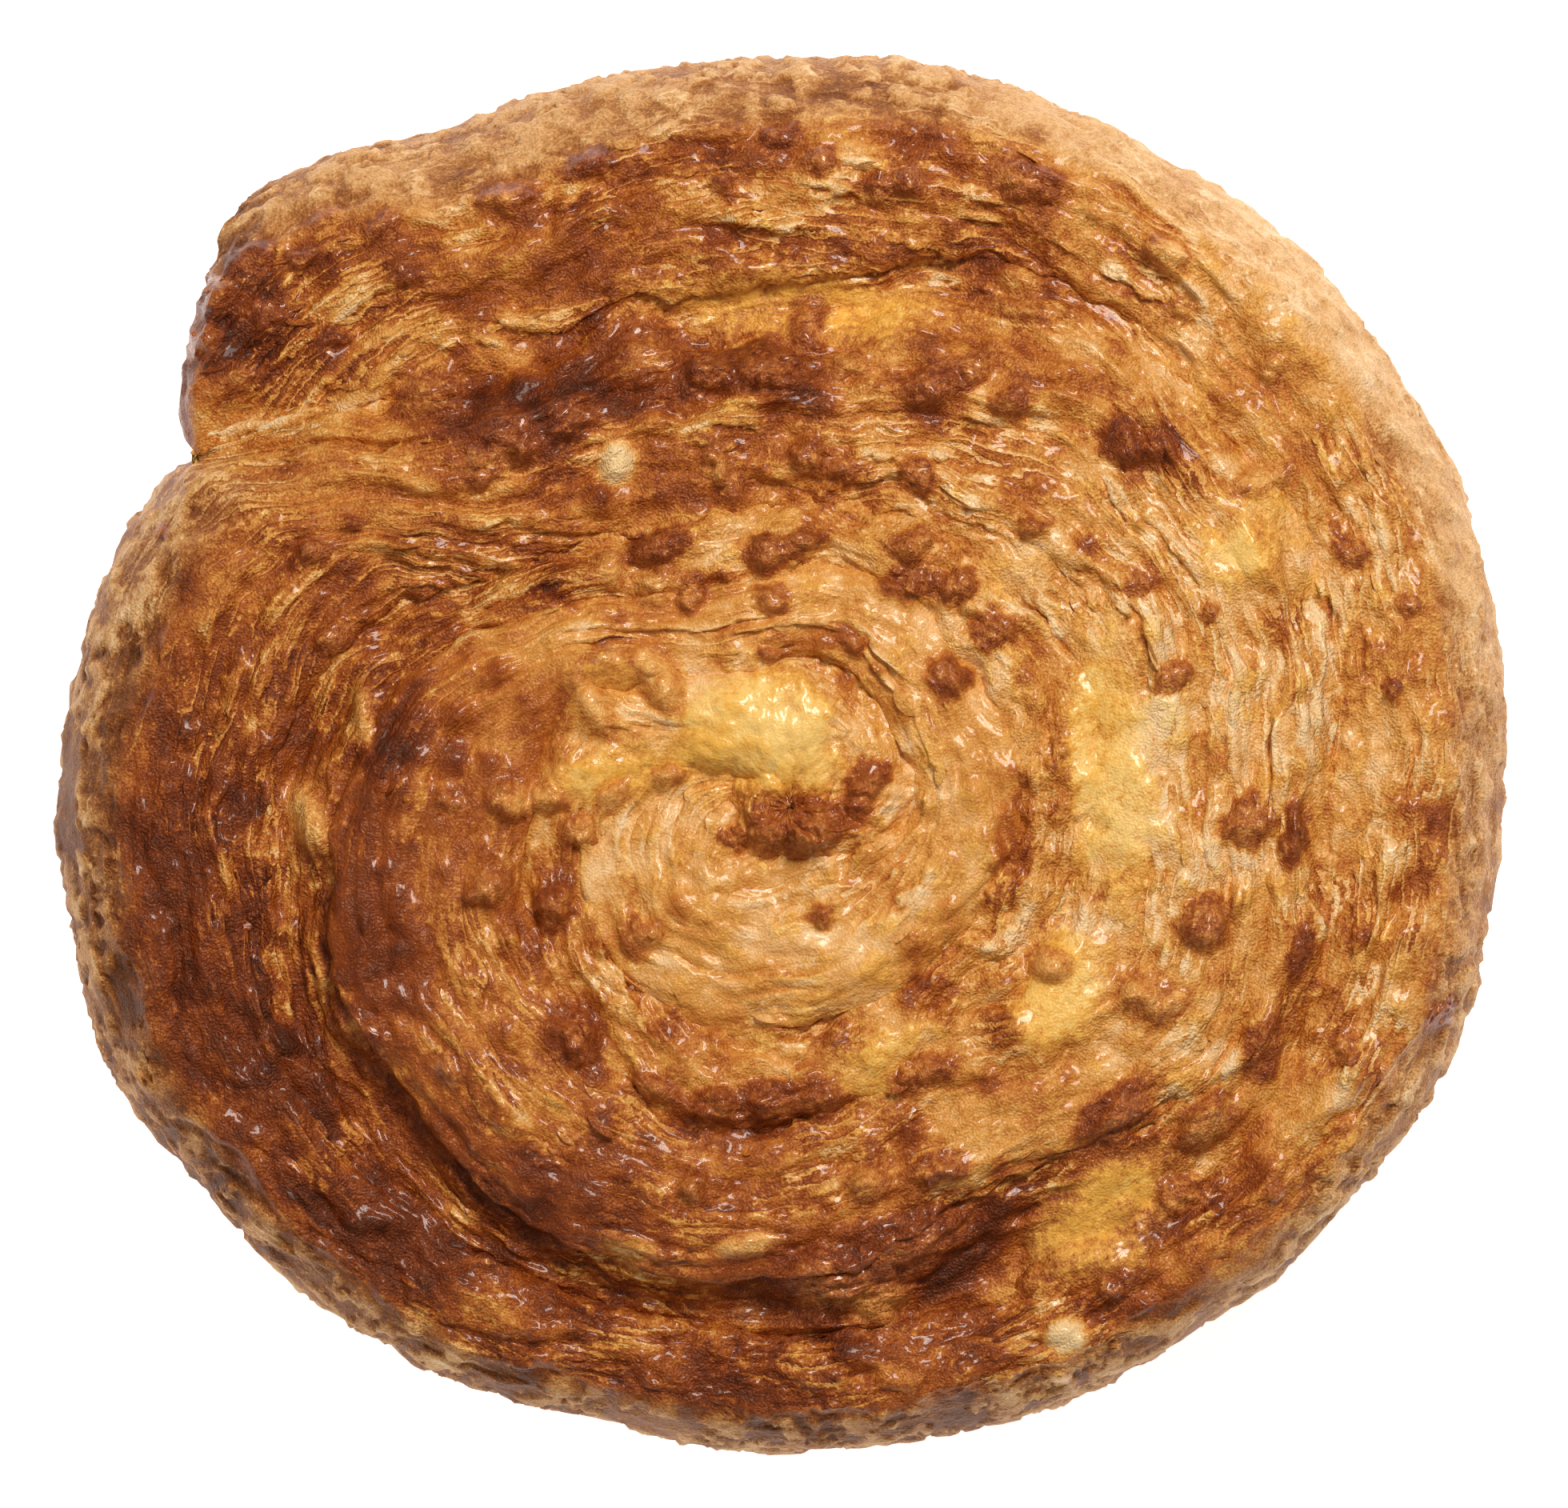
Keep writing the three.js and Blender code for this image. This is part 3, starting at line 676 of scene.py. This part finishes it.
def baked_top(desk, mesh, given):
    """Lays layers, blisters, lumps and browning, with some painted shade, on a swept shape that has its place
    already.
    """
    mesh = oven_marks(desk, mesh)
    tone, skin, above = desk.three("base")
    face, torn, tip = desk.three("ends")
    topside = desk.span(above, 0.35, 0.9)
    along, lane, _ = desk.three("spiral")
    cheese, _, glazed = desk.three("marks")
    height, cover, nib_tone = desk.three("lumps")
    _, mottle, swell = desk.three("mottling")
    position = desk.position()

    # Layers on the cut face, blisters on the skin
    layers = desk.group(layer_tree, {"Along": along, "Lane": lane, "Seed": given["Seed"]})
    mesh = desk.store_three(mesh, "layers", layers["Lip"], layers["Part"], layers["Stand"])
    lip, part, stand = desk.three("layers")
    bare = desk.span(cheese, 0.2, 0.7, 1.0, 0.0) * desk.span(cover, 0.2, 0.8, 1.0, 0.0)
    flaky = desk.span(desk.noise(position, 0.11, 3.0) - glazed * 0.25, 0.38, 0.60) * bare * (1.0 - skin * 0.6)
    mesh = desk.store(mesh, "flaky", flaky)
    flaky = desk.stored("flaky")
    bubbly = desk.noise(desk.vmath("MULTIPLY", position, (1.0, 1.0, 0.6)), 0.46, 3.0, 0.6)
    bubble = desk.span(bubbly, 0.46, 0.54)
    blister = bubble * desk.span(desk.noise(position, 0.13, 2.0), 0.34, 0.50) * skin
    mesh = desk.store(mesh, "blister", blister)
    blister = desk.stored("blister")
    ragged = desk.noise(position, 0.75, 3.0, 0.6) - 0.5
    bend = desk.noise(desk.vector(along * 0.13, lane * 0.16, given["Seed"] + 71.3), detail=2.0) - 0.5
    spot = desk.vector(along * 0.06, lane * 0.34 + bend * 2.6, given["Seed"] + 51.7)
    mesh = desk.store(mesh, "band", desk.noise(spot, detail=3.0, rough=0.55) - 0.5)
    band = desk.stored("band")
    calm = desk.span(along, 330.0, 520.0, 1.0, 0.60)
    # Paler lips, the low start of each layer darker as painted shade, and layers that stand lower darker
    edge_and_shade_tone = lip * -0.17 + desk.span(part, 0.34, 0.0) * 0.09 + (0.5 - stand) * 0.14
    toast_and_shade_tone = desk.stored("toast") * (1.0 - skin * 0.5)
    band_tone = band * 0.42 * calm * (1.0 - cheese * 0.85)
    tone = tone + (toast_and_shade_tone + band_tone) * topside * (1.0 - torn)
    blister_tone = blister * desk.span(tone, 0.30, 0.60, 0.04, 0.27)
    # Tone that follows the ragged relief: painted shade on its bumps and dips
    ragged_shade_tone = ragged * 0.22 * (1.0 - skin * 0.6)
    tone = tone + edge_and_shade_tone * flaky * calm - blister_tone - ragged_shade_tone + torn * 0.1
    lump_tone = nib_tone + 0.08 - height * 0.11 + mottle * 0.5
    mesh = desk.store(mesh, "bake", desk.mix(desk.span(cover, 0.10, 0.9) * topside, tone, lump_tone))

    # Relief along the normal, and lumps upwards
    layer = (stand * (0.3 + part * 0.7) - 0.4) * given["Layer lift"] * flaky * face
    lift = layer + blister * BLISTER_LIFT * desk.span(above, 0.05, 0.5)
    lift = lift - band * RIDGE_LIFT * face * (1.0 - skin * 0.7) * calm * (1.0 - cheese)
    rough_lift = (mottle * 1.6 + ragged * 0.30) * (1.0 - skin * 0.6) * (1.0 - cheese * 0.6)
    uneven_lift = swell * 2.4 * given["Swell lift"] + rough_lift
    lift = lift + uneven_lift * desk.span(above, 0.02, 0.3)
    lift = lift + (POOL_LIFT + mottle * 0.8) * cheese * topside
    leaves = desk.noise(desk.vmath("MULTIPLY", position, (0.22, 0.22, 1.1)), 1.0, 3.0) - 0.5
    mesh = desk.store(mesh, "lift", (lift + leaves * torn * 2.2) * tip)
    offset = desk.scaled(desk.wire("GeometryNodeInputNormal"), desk.stored("lift"))
    offset = desk.vmath("ADD", offset, desk.vector(0.0, 0.0, desk.stored("rise") * topside))
    return desk.wire("GeometryNodeSetPosition", {"Geometry": mesh, "Offset": offset})


def ring_shares(desk, round_share, wall_top, top_end):
    """Parts of a ring of points, each from 0 to 1: outer wall, top, inner wall and underside."""
    foot_end = 1.0 - FOOT_SHARE
    out_wall = desk.span(round_share, FOOT_SHARE, wall_top, smooth=False)
    top = desk.span(round_share, wall_top, top_end, smooth=False)
    in_wall = desk.span(round_share, top_end, foot_end, smooth=False)
    under = desk.span(round_share, 0.0, FOOT_SHARE, smooth=False)
    under = under + desk.span(round_share, foot_end, 1.0, smooth=False)
    return out_wall, top, in_wall, under


def run_of_strip(desk, points):
    """Direction of the strip at each point of its rings, from the rings before and after."""
    position = desk.position()
    index = desk.wire("GeometryNodeInputIndex")
    ahead = {"Value": position, "Index": index + points * 3.0}
    behind = {"Value": position, "Index": desk.math("MAXIMUM", index - points * 3.0, 0.0)}
    settings = {"data_type": "FLOAT_VECTOR", "domain": "POINT"}
    first = desk.wire("GeometryNodeFieldAtIndex", behind, **settings)
    second = desk.wire("GeometryNodeFieldAtIndex", ahead, **settings)
    return desk.vmath("NORMALIZE", desk.vmath("SUBTRACT", second, first))


def dough_tree():
    """The dough strip, swept along the coil with its layers, blisters and browning."""
    inputs = [("Rings", INT, 2100), ("Points", INT, 220)]
    inputs += [("Tail rings", INT, 24), ("Tail rounding", FLOAT, 1.5)]
    inputs += [("Layer lift", FLOAT, LAYER_LIFT), ("Swell lift", FLOAT, SWELL_LIFT), ("Seed", FLOAT, 3.0)]
    inputs += [("Material", MATERIAL, None)]
    tree, desk, given, leave = new_tree("dough strip", inputs)
    mesh, step, round_share = grid_steps(desk, given["Rings"], given["Points"])
    mesh = desk.wire("GeometryNodeFlipFaces", {"Mesh": mesh})

    # The first rings close the tail, and the rest run along the strip
    last = given["Rings"] - 1.0
    ring = desk.math("ROUND", step * last)
    tail = desk.clamp(desk.math("MAXIMUM", ring, 1.0) / given["Tail rings"])
    pole = desk.math("LESS_THAN", desk.math("MINIMUM", ring, last - ring), 0.5)
    run = desk.clamp((ring - given["Tail rings"]) / (last - given["Tail rings"] - 1.0))
    rounding = given["Tail rounding"]
    wound = desk.law(run, WOUND_AT, 1.0) * (1.0 - rounding / STRIP_END)
    wound = rounding * tail ** TAIL_CURVE + wound

    # The section: outer wall, top and inner wall, with more points where the outer wall is free
    free = desk.span(wound, *FREE_ENDS, 1.0, 0.0)
    wall_top = STRIP_WALL + free * FREE_WALL_MORE
    out_wall, top, in_wall, under = ring_shares(desk, round_share, wall_top, STRIP_TOP_END)
    arch = (1.0 - desk.math("COSINE", top * math.pi)) * 0.5
    across = 0.5 - under * 0.5 + desk.mix(SHOULDER_SHARE, top, arch)
    across = 0.5 + (across - 0.5) * tail
    up = 0.5 + (out_wall - in_wall - 0.5) * tail

    # Where that section lies in the coil
    seam, width, crest = coil_laws(desk, wound)
    slant = TAIL_SLANT * (1.0 - across) * desk.span(wound, 0.0, SLANT_FADE, 1.0, 0.0)
    turned = wound + slant
    lower_seam, lower_width, _ = coil_laws(desk, turned - FULL_TURN)
    wrapped_in = desk.span(turned, *WRAPPED_IN)
    outer = desk.mix(wrapped_in, desk.law(turned, OUTLINE), lower_seam - lower_width * 0.5)
    inner = seam + width * 0.5
    wrapped_edge = crest - INNER_DROP
    outer_edge = desk.mix(free, wrapped_edge, crest * WIDEST_AT)
    edge = desk.mix(desk.math("GREATER_THAN", across, 0.5), outer_edge, wrapped_edge)
    off_middle = desk.math("ABSOLUTE", across * 2.0 - 1.0) ** SHOULDER_POWER
    arched = desk.math("MAXIMUM", 1.0 - off_middle, 0.0) ** (1.0 / SHOULDER_POWER)
    height = desk.mix(arched, edge, crest) * up
    tuck = free * FOOT_TUCK * (1.0 - up) ** 2.0
    distance = desk.mix(across, outer - tuck, inner)
    placed = wind(desk, turned, distance, height)
    lane = across * (outer - inner) + (1.0 - out_wall) * -WALL_LANE + in_wall * WALL_LANE
    skin = free * desk.span(across, 0.16, 0.48, 1.0, 0.0)
    face = desk.span(up, 0.86, 1.0) * desk.span(tail, 0.98, 1.0)

    mesh = desk.store_three(mesh, "spiral", desk.law(wound, ROLLED), lane, across)
    tone = desk.mix(skin, desk.law(wound, CREST_BAKE_AND_SHADE), desk.law(wound, SLOPE_BAKE_AND_SHADE))
    mesh = desk.store_three(mesh, "base", tone, skin, up)
    off_seam = desk.span(round_share, 0.0, SEAM_SHARE) * desk.span(round_share, 1.0, 1.0 - SEAM_SHARE)
    tip = desk.span(turned, 0.0, TAIL_TIP) * off_seam
    mesh = desk.store_three(mesh, "ends", face, desk.span(tail, 1.0, 0.9), tip)
    mesh = desk.store(mesh, "pole", pole)
    middle = wound + TAIL_SLANT * 0.5 * desk.span(wound, 0.0, SLANT_FADE, 1.0, 0.0)
    core = wind(desk, middle, (outer + inner) * 0.5, crest * 0.5)
    mesh = desk.store(mesh, "core", core, "FLOAT_VECTOR")
    mesh = desk.wire("GeometryNodeSetPosition", {"Geometry": mesh, "Position": uneven(desk, placed)})
    mesh = desk.store(mesh, "tangent", run_of_strip(desk, given["Points"]), "FLOAT_VECTOR")
    mesh = baked_top(desk, mesh, given)

    # Both ends close on the strip's middle
    pole = desk.stored("pole")
    close = {"Geometry": mesh, "Selection": desk.math("GREATER_THAN", pole, 0.5)}
    close["Position"] = desk.stored("core", "FLOAT_VECTOR")
    mesh = desk.wire("GeometryNodeSetPosition", close)
    mesh = desk.wire("GeometryNodeMergeByDistance", {"Geometry": mesh, "Distance": END_WELD})
    off_pole = desk.math("LESS_THAN", pole, 0.01)
    finish_tree(desk, in_metres(desk, mesh), off_pole, given["Material"], leave)
    return tree


def in_metres(desk, mesh):
    """A shape that was made in millimetres."""
    return desk.wire("GeometryNodeTransform", {"Geometry": mesh, "Scale": (MILLIMETRE,) * 3})


def finish_tree(desk, mesh, smooth, material, leave):
    """The piece is shaded, realized and given its material."""
    mesh = desk.wire("GeometryNodeSetShadeSmooth", {"Geometry": mesh, "Shade Smooth": smooth})
    mesh = desk.wire("GeometryNodeRealizeInstances", {"Geometry": mesh})
    mesh = desk.wire("GeometryNodeSetMaterial", {"Geometry": mesh, "Material": material})
    desk.feed(leave.inputs["Geometry"], mesh)


def cheese_tree():
    """The melted cheese between the turns, from the notch to the pool at the heart."""
    inputs = [("Rings", INT, 1170), ("Points", INT, 84), ("From", FLOAT, -3.0), ("To", FLOAT, 1095.0)]
    inputs += [("Rise", FLOAT, 1.0), ("Layer lift", FLOAT, LAYER_LIFT), ("Swell lift", FLOAT, 1.1)]
    inputs += [("Seed", FLOAT, 11.0), ("Material", MATERIAL, None)]
    tree, desk, given, leave = new_tree("melted cheese", inputs)
    mesh, step, round_share = grid_steps(desk, given["Rings"], given["Points"])
    mesh = desk.wire("GeometryNodeFlipFaces", {"Mesh": mesh})
    last = given["Rings"] - 1.0
    ring = desk.math("ROUND", step * last)
    spread = desk.clamp(desk.math("MINIMUM", ring, last - ring))
    wound = given["From"] + (given["To"] - given["From"]) * desk.clamp((ring - 1.0) / (last - 2.0))
    out_wall, top, in_wall, under = ring_shares(desk, round_share, FILLING_WALL, FILLING_TOP_END)
    across = 0.5 + (top - under * 0.5) * spread
    up = 0.5 + (out_wall - in_wall - 0.5) * spread

    seam, width, crest = coil_laws(desk, wound)
    next_turn = desk.math("MINIMUM", wound + FULL_TURN, HEART_AT)
    _, _, next_crest = coil_laws(desk, next_turn)
    climb = desk.math("MINIMUM", next_crest - crest, MOST_CLIMB) * desk.span(across, 0.1, 0.9)
    level = desk.math("MINIMUM", crest + climb, FILLING_TOP)
    level = desk.mix(desk.span(wound, HEART_FROM, HEART_AT), level, HEART_TOP)
    off_middle = desk.math("ABSOLUTE", across * 2.0 - 1.0)
    valley = (1.0 - off_middle ** 2.0) ** 2.0
    level = level - INNER_DROP - desk.law(wound, FILLING_DIP) * valley + given["Rise"]
    lap = desk.law(wound, LAPPED)
    inside = desk.math("GREATER_THAN", across, 0.5)
    half = width * 0.5 + desk.mix(inside, desk.math("MINIMUM", lap, LAPPED_OUT), lap)
    distance = desk.math("MAXIMUM", seam + half * (1.0 - across * 2.0), 0.02)
    distance = desk.math("MINIMUM", distance, NOTCH_REACH + wound * NOTCH_WIDENING)
    sag = off_middle ** 3.0 * FILLING_SAG
    lane = half * across * 2.0 + FILLING_LANE
    mesh = desk.store_three(mesh, "spiral", desk.law(wound, ROLLED), lane, across)
    tone = (desk.law(wound, CREST_BAKE_AND_SHADE) + desk.law(next_turn, CREST_BAKE_AND_SHADE)) * 0.5
    mesh = desk.store_three(mesh, "base", tone, 0.0, up)
    mesh = desk.store_three(mesh, "ends", desk.span(up, 0.86, 1.0), 0.0, 1.0)
    placed = wind(desk, wound, distance, up * (level - sag))
    mesh = desk.wire("GeometryNodeSetPosition", {"Geometry": mesh, "Position": uneven(desk, placed)})
    mesh = desk.wire("GeometryNodeMergeByDistance", {"Geometry": mesh, "Distance": WELD})
    mesh = baked_top(desk, mesh, given)
    finish_tree(desk, in_metres(desk, mesh), True, given["Material"], leave)
    return tree


def flake_tree():
    """Thin torn flakes of the dough's layers, lying along the strip with one long edge lifted."""
    inputs = [("Dough", OBJECT, None), ("Each square metre", FLOAT, 45000.0), ("Length", FLOAT, 2.0)]
    inputs += [("Width", FLOAT, 0.5), ("Lift", FLOAT, 0.22), ("Seed", INT, 5), ("Material", MATERIAL, None)]
    tree, desk, given, leave = new_tree("torn flakes", inputs)

    # One flake in millimetres: a flat wedge with pointed ends, its root sunk in the dough
    flake, share, corner = grid_steps(desk, 8, 5)
    corner = desk.math("ROUND", corner * 4.0)
    free = desk.span(desk.math("ABSOLUTE", corner - 1.5), 1.0, 0.6)
    lower = desk.math("GREATER_THAN", corner, 1.5) * desk.math("LESS_THAN", corner, 3.5)
    spread = desk.math("SINE", share * math.pi) ** 0.6
    bow = (share * 2.0 - 1.0) ** 2.0
    x = (share - 0.5) * given["Length"]
    y = (free * 1.4 - 0.4) * spread * given["Width"]
    z = free * given["Lift"] * spread - bow * 0.25 - lower * 0.10 * spread - (1.0 - free) * 0.08
    flake = desk.wire("GeometryNodeSetPosition", {"Geometry": flake, "Position": desk.vector(x, y, z)})
    flake = desk.store(flake, "free", free)
    flake = desk.wire("GeometryNodeMergeByDistance", {"Geometry": flake, "Distance": WELD})

    # Scattered over the bare layers of the dough, at random sizes that make them metres
    info = desk.wire("GeometryNodeObjectInfo", {"Object": given["Dough"]}, out="Geometry")
    face = desk.three("ends")[0]
    skin = desk.three("base")[1]
    along = desk.three("spiral")[0]
    calm = desk.span(along, 400.0, 500.0, 1.0, 0.5)
    crusty = desk.span(desk.three("marks")[2], -0.2, -0.8, 1.0, 7.0)
    often = desk.stored("flaky") * face * (1.0 - skin) * calm * crusty * given["Each square metre"]
    scatter = {"Mesh": info, "Density": often, "Seed": given["Seed"]}
    points = desk.node("GeometryNodeDistributePointsOnFaces", scatter)
    heading = {"Vector": desk.stored("tangent", "FLOAT_VECTOR")}
    turned = desk.wire("FunctionNodeAlignRotationToVector", heading, axis="X")
    upright = {"Rotation": turned, "Vector": Wire(desk, points.outputs["Normal"])}
    turned = desk.wire("FunctionNodeAlignRotationToVector", upright, axis="Z", pivot_axis="X")
    chance = {"data_type": "FLOAT_VECTOR"}
    size_range = {0: (0.0005, 0.0006, 0.0004), 1: (0.0015, 0.0014, 0.0013), "Seed": 3}
    size = desk.wire("FunctionNodeRandomValue", size_range, **chance)
    place = {"Points": Wire(desk, points.outputs["Points"]), "Instance": flake}
    place.update({"Rotation": turned, "Scale": size})
    mesh = desk.wire("GeometryNodeInstanceOnPoints", place)
    swing_range = {0: (0.0, 0.0, 0.0), 1: (1.0, 1.0, 1.0), "Seed": 8}
    roll, stray, side = desk.parts(desk.wire("FunctionNodeRandomValue", swing_range, **chance))
    swing = (stray - 0.5) * 0.4 + desk.math("ROUND", side) * math.pi
    swing = desk.wire("FunctionNodeEulerToRotation", {"Euler": desk.vector((roll - 0.5) * 0.5, 0.0, swing)})
    mesh = desk.wire("GeometryNodeRotateInstances", {"Instances": mesh, "Rotation": swing})
    mesh = desk.wire("GeometryNodeRealizeInstances", {"Geometry": mesh})

    # Ragged free edges, paler than the dough under them
    position = desk.position()
    stray = desk.vmath("SUBTRACT", desk.noise_vector(position, 1300.0, 1.0), (0.5, 0.5, 0.5))
    stray = desk.scaled(stray, desk.stored("free") * 0.0005)
    mesh = desk.wire("GeometryNodeSetPosition", {"Geometry": mesh, "Offset": stray})
    paler = desk.stored("bake") - 0.03 - desk.stored("free") * 0.10
    mesh = desk.store(mesh, "bake", desk.math("MAXIMUM", paler, 0.20))
    mesh = desk.store(mesh, "flaky", 0.0)
    finish_tree(desk, mesh, False, given["Material"], leave)
    return tree


def material_desk(name):
    """A new material's tree with its Principled BSDF."""
    material = bpy.data.materials.new(name)
    material.use_nodes = True
    desk = Desk(material.node_tree)
    shader = material.node_tree.nodes["Principled BSDF"]
    return material, desk, shader


def finish(shader, values):
    """Sets what is the same all over a surface."""
    for label, value in values.items():
        shader.inputs[label].default_value = value


def baked_surface():
    """Baked dough and melted cheese: browning laid on the mesh, fine flake edges with painted shade in their
    hollows, grease and fine relief.
    """
    inputs = [("Cheese start", FLOAT, 0.20), ("Gloss", FLOAT, 0.37)]
    outputs = [("Base Color", COLOUR), ("Roughness", FLOAT), ("Coat Weight", FLOAT), ("Relief", FLOAT)]
    tree, desk, given, leave = new_tree("baked surface", inputs, outputs, "ShaderNodeTree")
    along, lane, _ = desk.painted_three("spiral")
    cheese, _, glazed = desk.painted_three("marks")
    _, nib, _ = desk.painted_three("lumps")
    _, skin, _ = desk.painted_three("base")
    _, end, _ = desk.painted_three("ends")
    flaky = desk.painted("flaky")
    spot = desk.scaled(desk.wire("ShaderNodeTexCoord", out="Object"), 1.0 / MILLIMETRE)
    speck = desk.noise(spot, 1.5, 2.0, 0.7) - 0.5
    grain = desk.noise(spot, 5.0, 0.0) - 0.5

    # Fine leaves of dough along the roll: each rises to a torn lip and drops to the next
    fibre = desk.noise(desk.vector(along * 0.13, lane * 0.70, 0.43), detail=1.0, rough=0.6)
    strata = lane * 0.85 + fibre * 5.0 + speck * 0.9
    number = desk.math("FLOOR", strata)
    part = strata - number
    torn = desk.noise(desk.vector(along * 0.30 + number * 3.7, number * 5.31, 0.57), detail=0.0)
    leaf = desk.span(torn, 0.40, 0.58)
    lip = desk.span(part, 0.50, 0.88) * desk.span(part, 1.0, 0.94) * leaf
    # The low start of each leaf, which the tone below darkens as painted shade
    hollow_shade = desk.span(part, 0.34, 0.0)
    fine = desk.span(along, 400.0, 520.0, 1.0, 0.6)

    # Melted cheese, bare flecks, buttery patches, skin and lumps, each with its own browning, and painted
    # shade in the hollows between leaves
    _, mottle, _ = desk.painted_three("mottling")
    start = given["Cheese start"]
    melted = desk.span(cheese + speck * 1.0 + mottle * 1.2, start, start + 0.85)
    worn = (flaky * 0.85 + 0.15) * fine * (1.0 - end) * (1.0 - melted * 0.9)
    crusty = desk.span(glazed, -0.2, -0.8)
    fleck = desk.span(speck, 0.10, 0.22) * (flaky * 0.7 + 0.3) * (1.0 + crusty)
    tone = desk.painted("bake") + (grain * 0.24 - speck * 0.30) * fine - fleck * 0.18
    tone = tone + (hollow_shade * 0.13 - lip * 0.26 + (0.5 - torn) * 0.20) * worn
    crust = desk.ramp(tone, TOASTING)
    buttery = desk.span(mottle + speck * 0.35, -0.02, 0.16) * 0.75
    crust = desk.tint(buttery, crust, desk.ramp(tone + 0.05, CHEESE_TOASTING))
    crust = desk.tint(desk.span(skin, 0.2, 0.9), crust, desk.ramp(tone, SKIN_TOASTING))
    rim = desk.span(melted, 0.0, 0.4) * desk.span(melted, 1.0, 0.5)
    yellow = desk.ramp(tone * 0.95 - 0.20 + rim * 0.10, CHEESE_TOASTING)
    toasted = desk.ramp(tone - speck * 0.30, NIB_TOASTING)
    crumb = desk.span(nib + speck * 0.9 + grain * 0.4, 0.35, 0.95)
    colour = desk.tint(crumb, desk.tint(melted, crust, yellow), toasted)

    # Grease shines except where the crust is burnt or is bare skin
    burnt = desk.span(tone, 0.60, 0.90)
    dull = desk.math("MAXIMUM", burnt * 0.7, skin) * (1.0 - crumb * 0.8)
    roughness = given["Gloss"] + speck * 0.25 + flaky * 0.04 + dull * 0.24
    grease = desk.span(dull, 0.0, 1.0, 0.28, 0.03)
    coat = grease + crumb * 0.15 + melted * 0.10
    relief = (speck * 0.46 + grain * 0.42) * fine * (1.0 - melted * 0.5) + part * leaf * worn * 0.55
    for socket, value in zip(leave.inputs, (colour, roughness, coat, relief)):
        desk.feed(socket, value)
    return tree


surface_tree = baked_surface()


def baked_material(name, cheese_start, gloss):
    """A material of the baked surface, with its own start of the melted cheese and its own gloss."""
    material, desk, shader = material_desk(name)
    baked = desk.group(surface_tree, {"Cheese start": cheese_start, "Gloss": gloss})
    for label in ("Base Color", "Roughness", "Coat Weight"):
        desk.feed(shader.inputs[label], baked[label])
    fine_relief = {"Strength": BUMP_STRENGTH, "Distance": BUMP_DEPTH, "Height": baked["Relief"]}
    desk.feed(shader.inputs["Normal"], desk.wire("ShaderNodeBump", fine_relief))
    finish(shader, BAKED_FINISH)
    return material


def grow(name, tree, settings, kept=1.0):
    """Evaluates a tree with its settings, thins its plain parts and keeps the result as a plain mesh."""
    seed_mesh = bpy.data.meshes.new(name + " seed")
    holder = bpy.data.objects.new(name + " holder", seed_mesh)
    bpy.context.scene.collection.objects.link(holder)
    modifier = holder.modifiers.new("tree", "NODES")
    modifier.node_group = tree
    sockets = {s.name: s.identifier for s in tree.interface.items_tree if s.in_out == "INPUT"}
    for label, value in settings.items():
        modifier[sockets[label]] = value
    thinning = holder.modifiers.new("thinning", "DECIMATE")
    thinning.ratio = kept
    graph = bpy.context.evaluated_depsgraph_get()
    mesh = bpy.data.meshes.new_from_object(holder.evaluated_get(graph), depsgraph=graph)
    holder.modifiers.clear()
    bpy.data.objects.remove(holder)
    mesh.name = name
    piece = bpy.data.objects.new(name, mesh)
    bpy.context.scene.collection.objects.link(piece)
    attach(piece, "root")
    return piece


crust = baked_material("baked crust", cheese_start=0.20, gloss=0.37)
melted = baked_material("melted cheese", cheese_start=0.12, gloss=0.33)
strip = grow("dough_strip", dough_tree(), {"Material": crust}, STRIP_KEPT)
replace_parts(strip, "dough_coil")
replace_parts(grow("melted_cheese", cheese_tree(), {"Material": melted}), "cheese_filling")
grow("torn_flakes", flake_tree(), {"Dough": strip, "Material": crust})

# Studio: pale floor, soft light and the camera straight above
floor_mesh = bpy.data.meshes.new("floor")
corners = [(x * FLOOR_SIDE, y * FLOOR_SIDE, 0.0) for x, y in ((-1, -1), (1, -1), (1, 1), (-1, 1))]
floor_mesh.from_pydata(corners, [], [(0, 1, 2, 3)])
floor = bpy.data.objects.new("floor", floor_mesh)
bpy.context.scene.collection.objects.link(floor)
floor_paint, _, floor_shader = material_desk("pale floor")
finish(floor_shader, FLOOR_FINISH)
floor_mesh.materials.append(floor_paint)

scene = bpy.context.scene
scene.view_settings.view_transform = "Standard"
world = bpy.data.worlds.new("studio")
world.use_nodes = True
finish(world.node_tree.nodes["Background"], {"Color": ROOM_COLOUR, "Strength": ROOM_STRENGTH})
scene.world = world


def soft_light(name, place, size, power, glints):
    """A round lamp aimed at the swirl, with or without its glint on the grease."""
    lamp = bpy.data.lights.new(name, "AREA")
    lamp.shape = "DISK"
    lamp.size = size
    lamp.energy = power
    lamp.color = LAMP_COLOUR
    held = bpy.data.objects.new(name, lamp)
    held.location = place
    held.visible_glossy = glints
    aim = -held.location.normalized()
    held.rotation_euler = aim.to_track_quat("-Z", "Y").to_euler()
    scene.collection.objects.link(held)


soft_light("key light", place=(0.22, 0.40, 0.70), size=0.26, power=5.3, glints=True)
soft_light("fill light", place=(-0.45, -0.15, 0.8), size=0.8, power=1.7, glints=False)

view = bpy.data.cameras.new("camera")
view.lens = CAMERA_LENS
view.sensor_width = CAMERA_FILM
camera = bpy.data.objects.new("camera", view)
camera.location = (0.0, 0.0, CAMERA_HEIGHT)
scene.collection.objects.link(camera)
scene.camera = camera
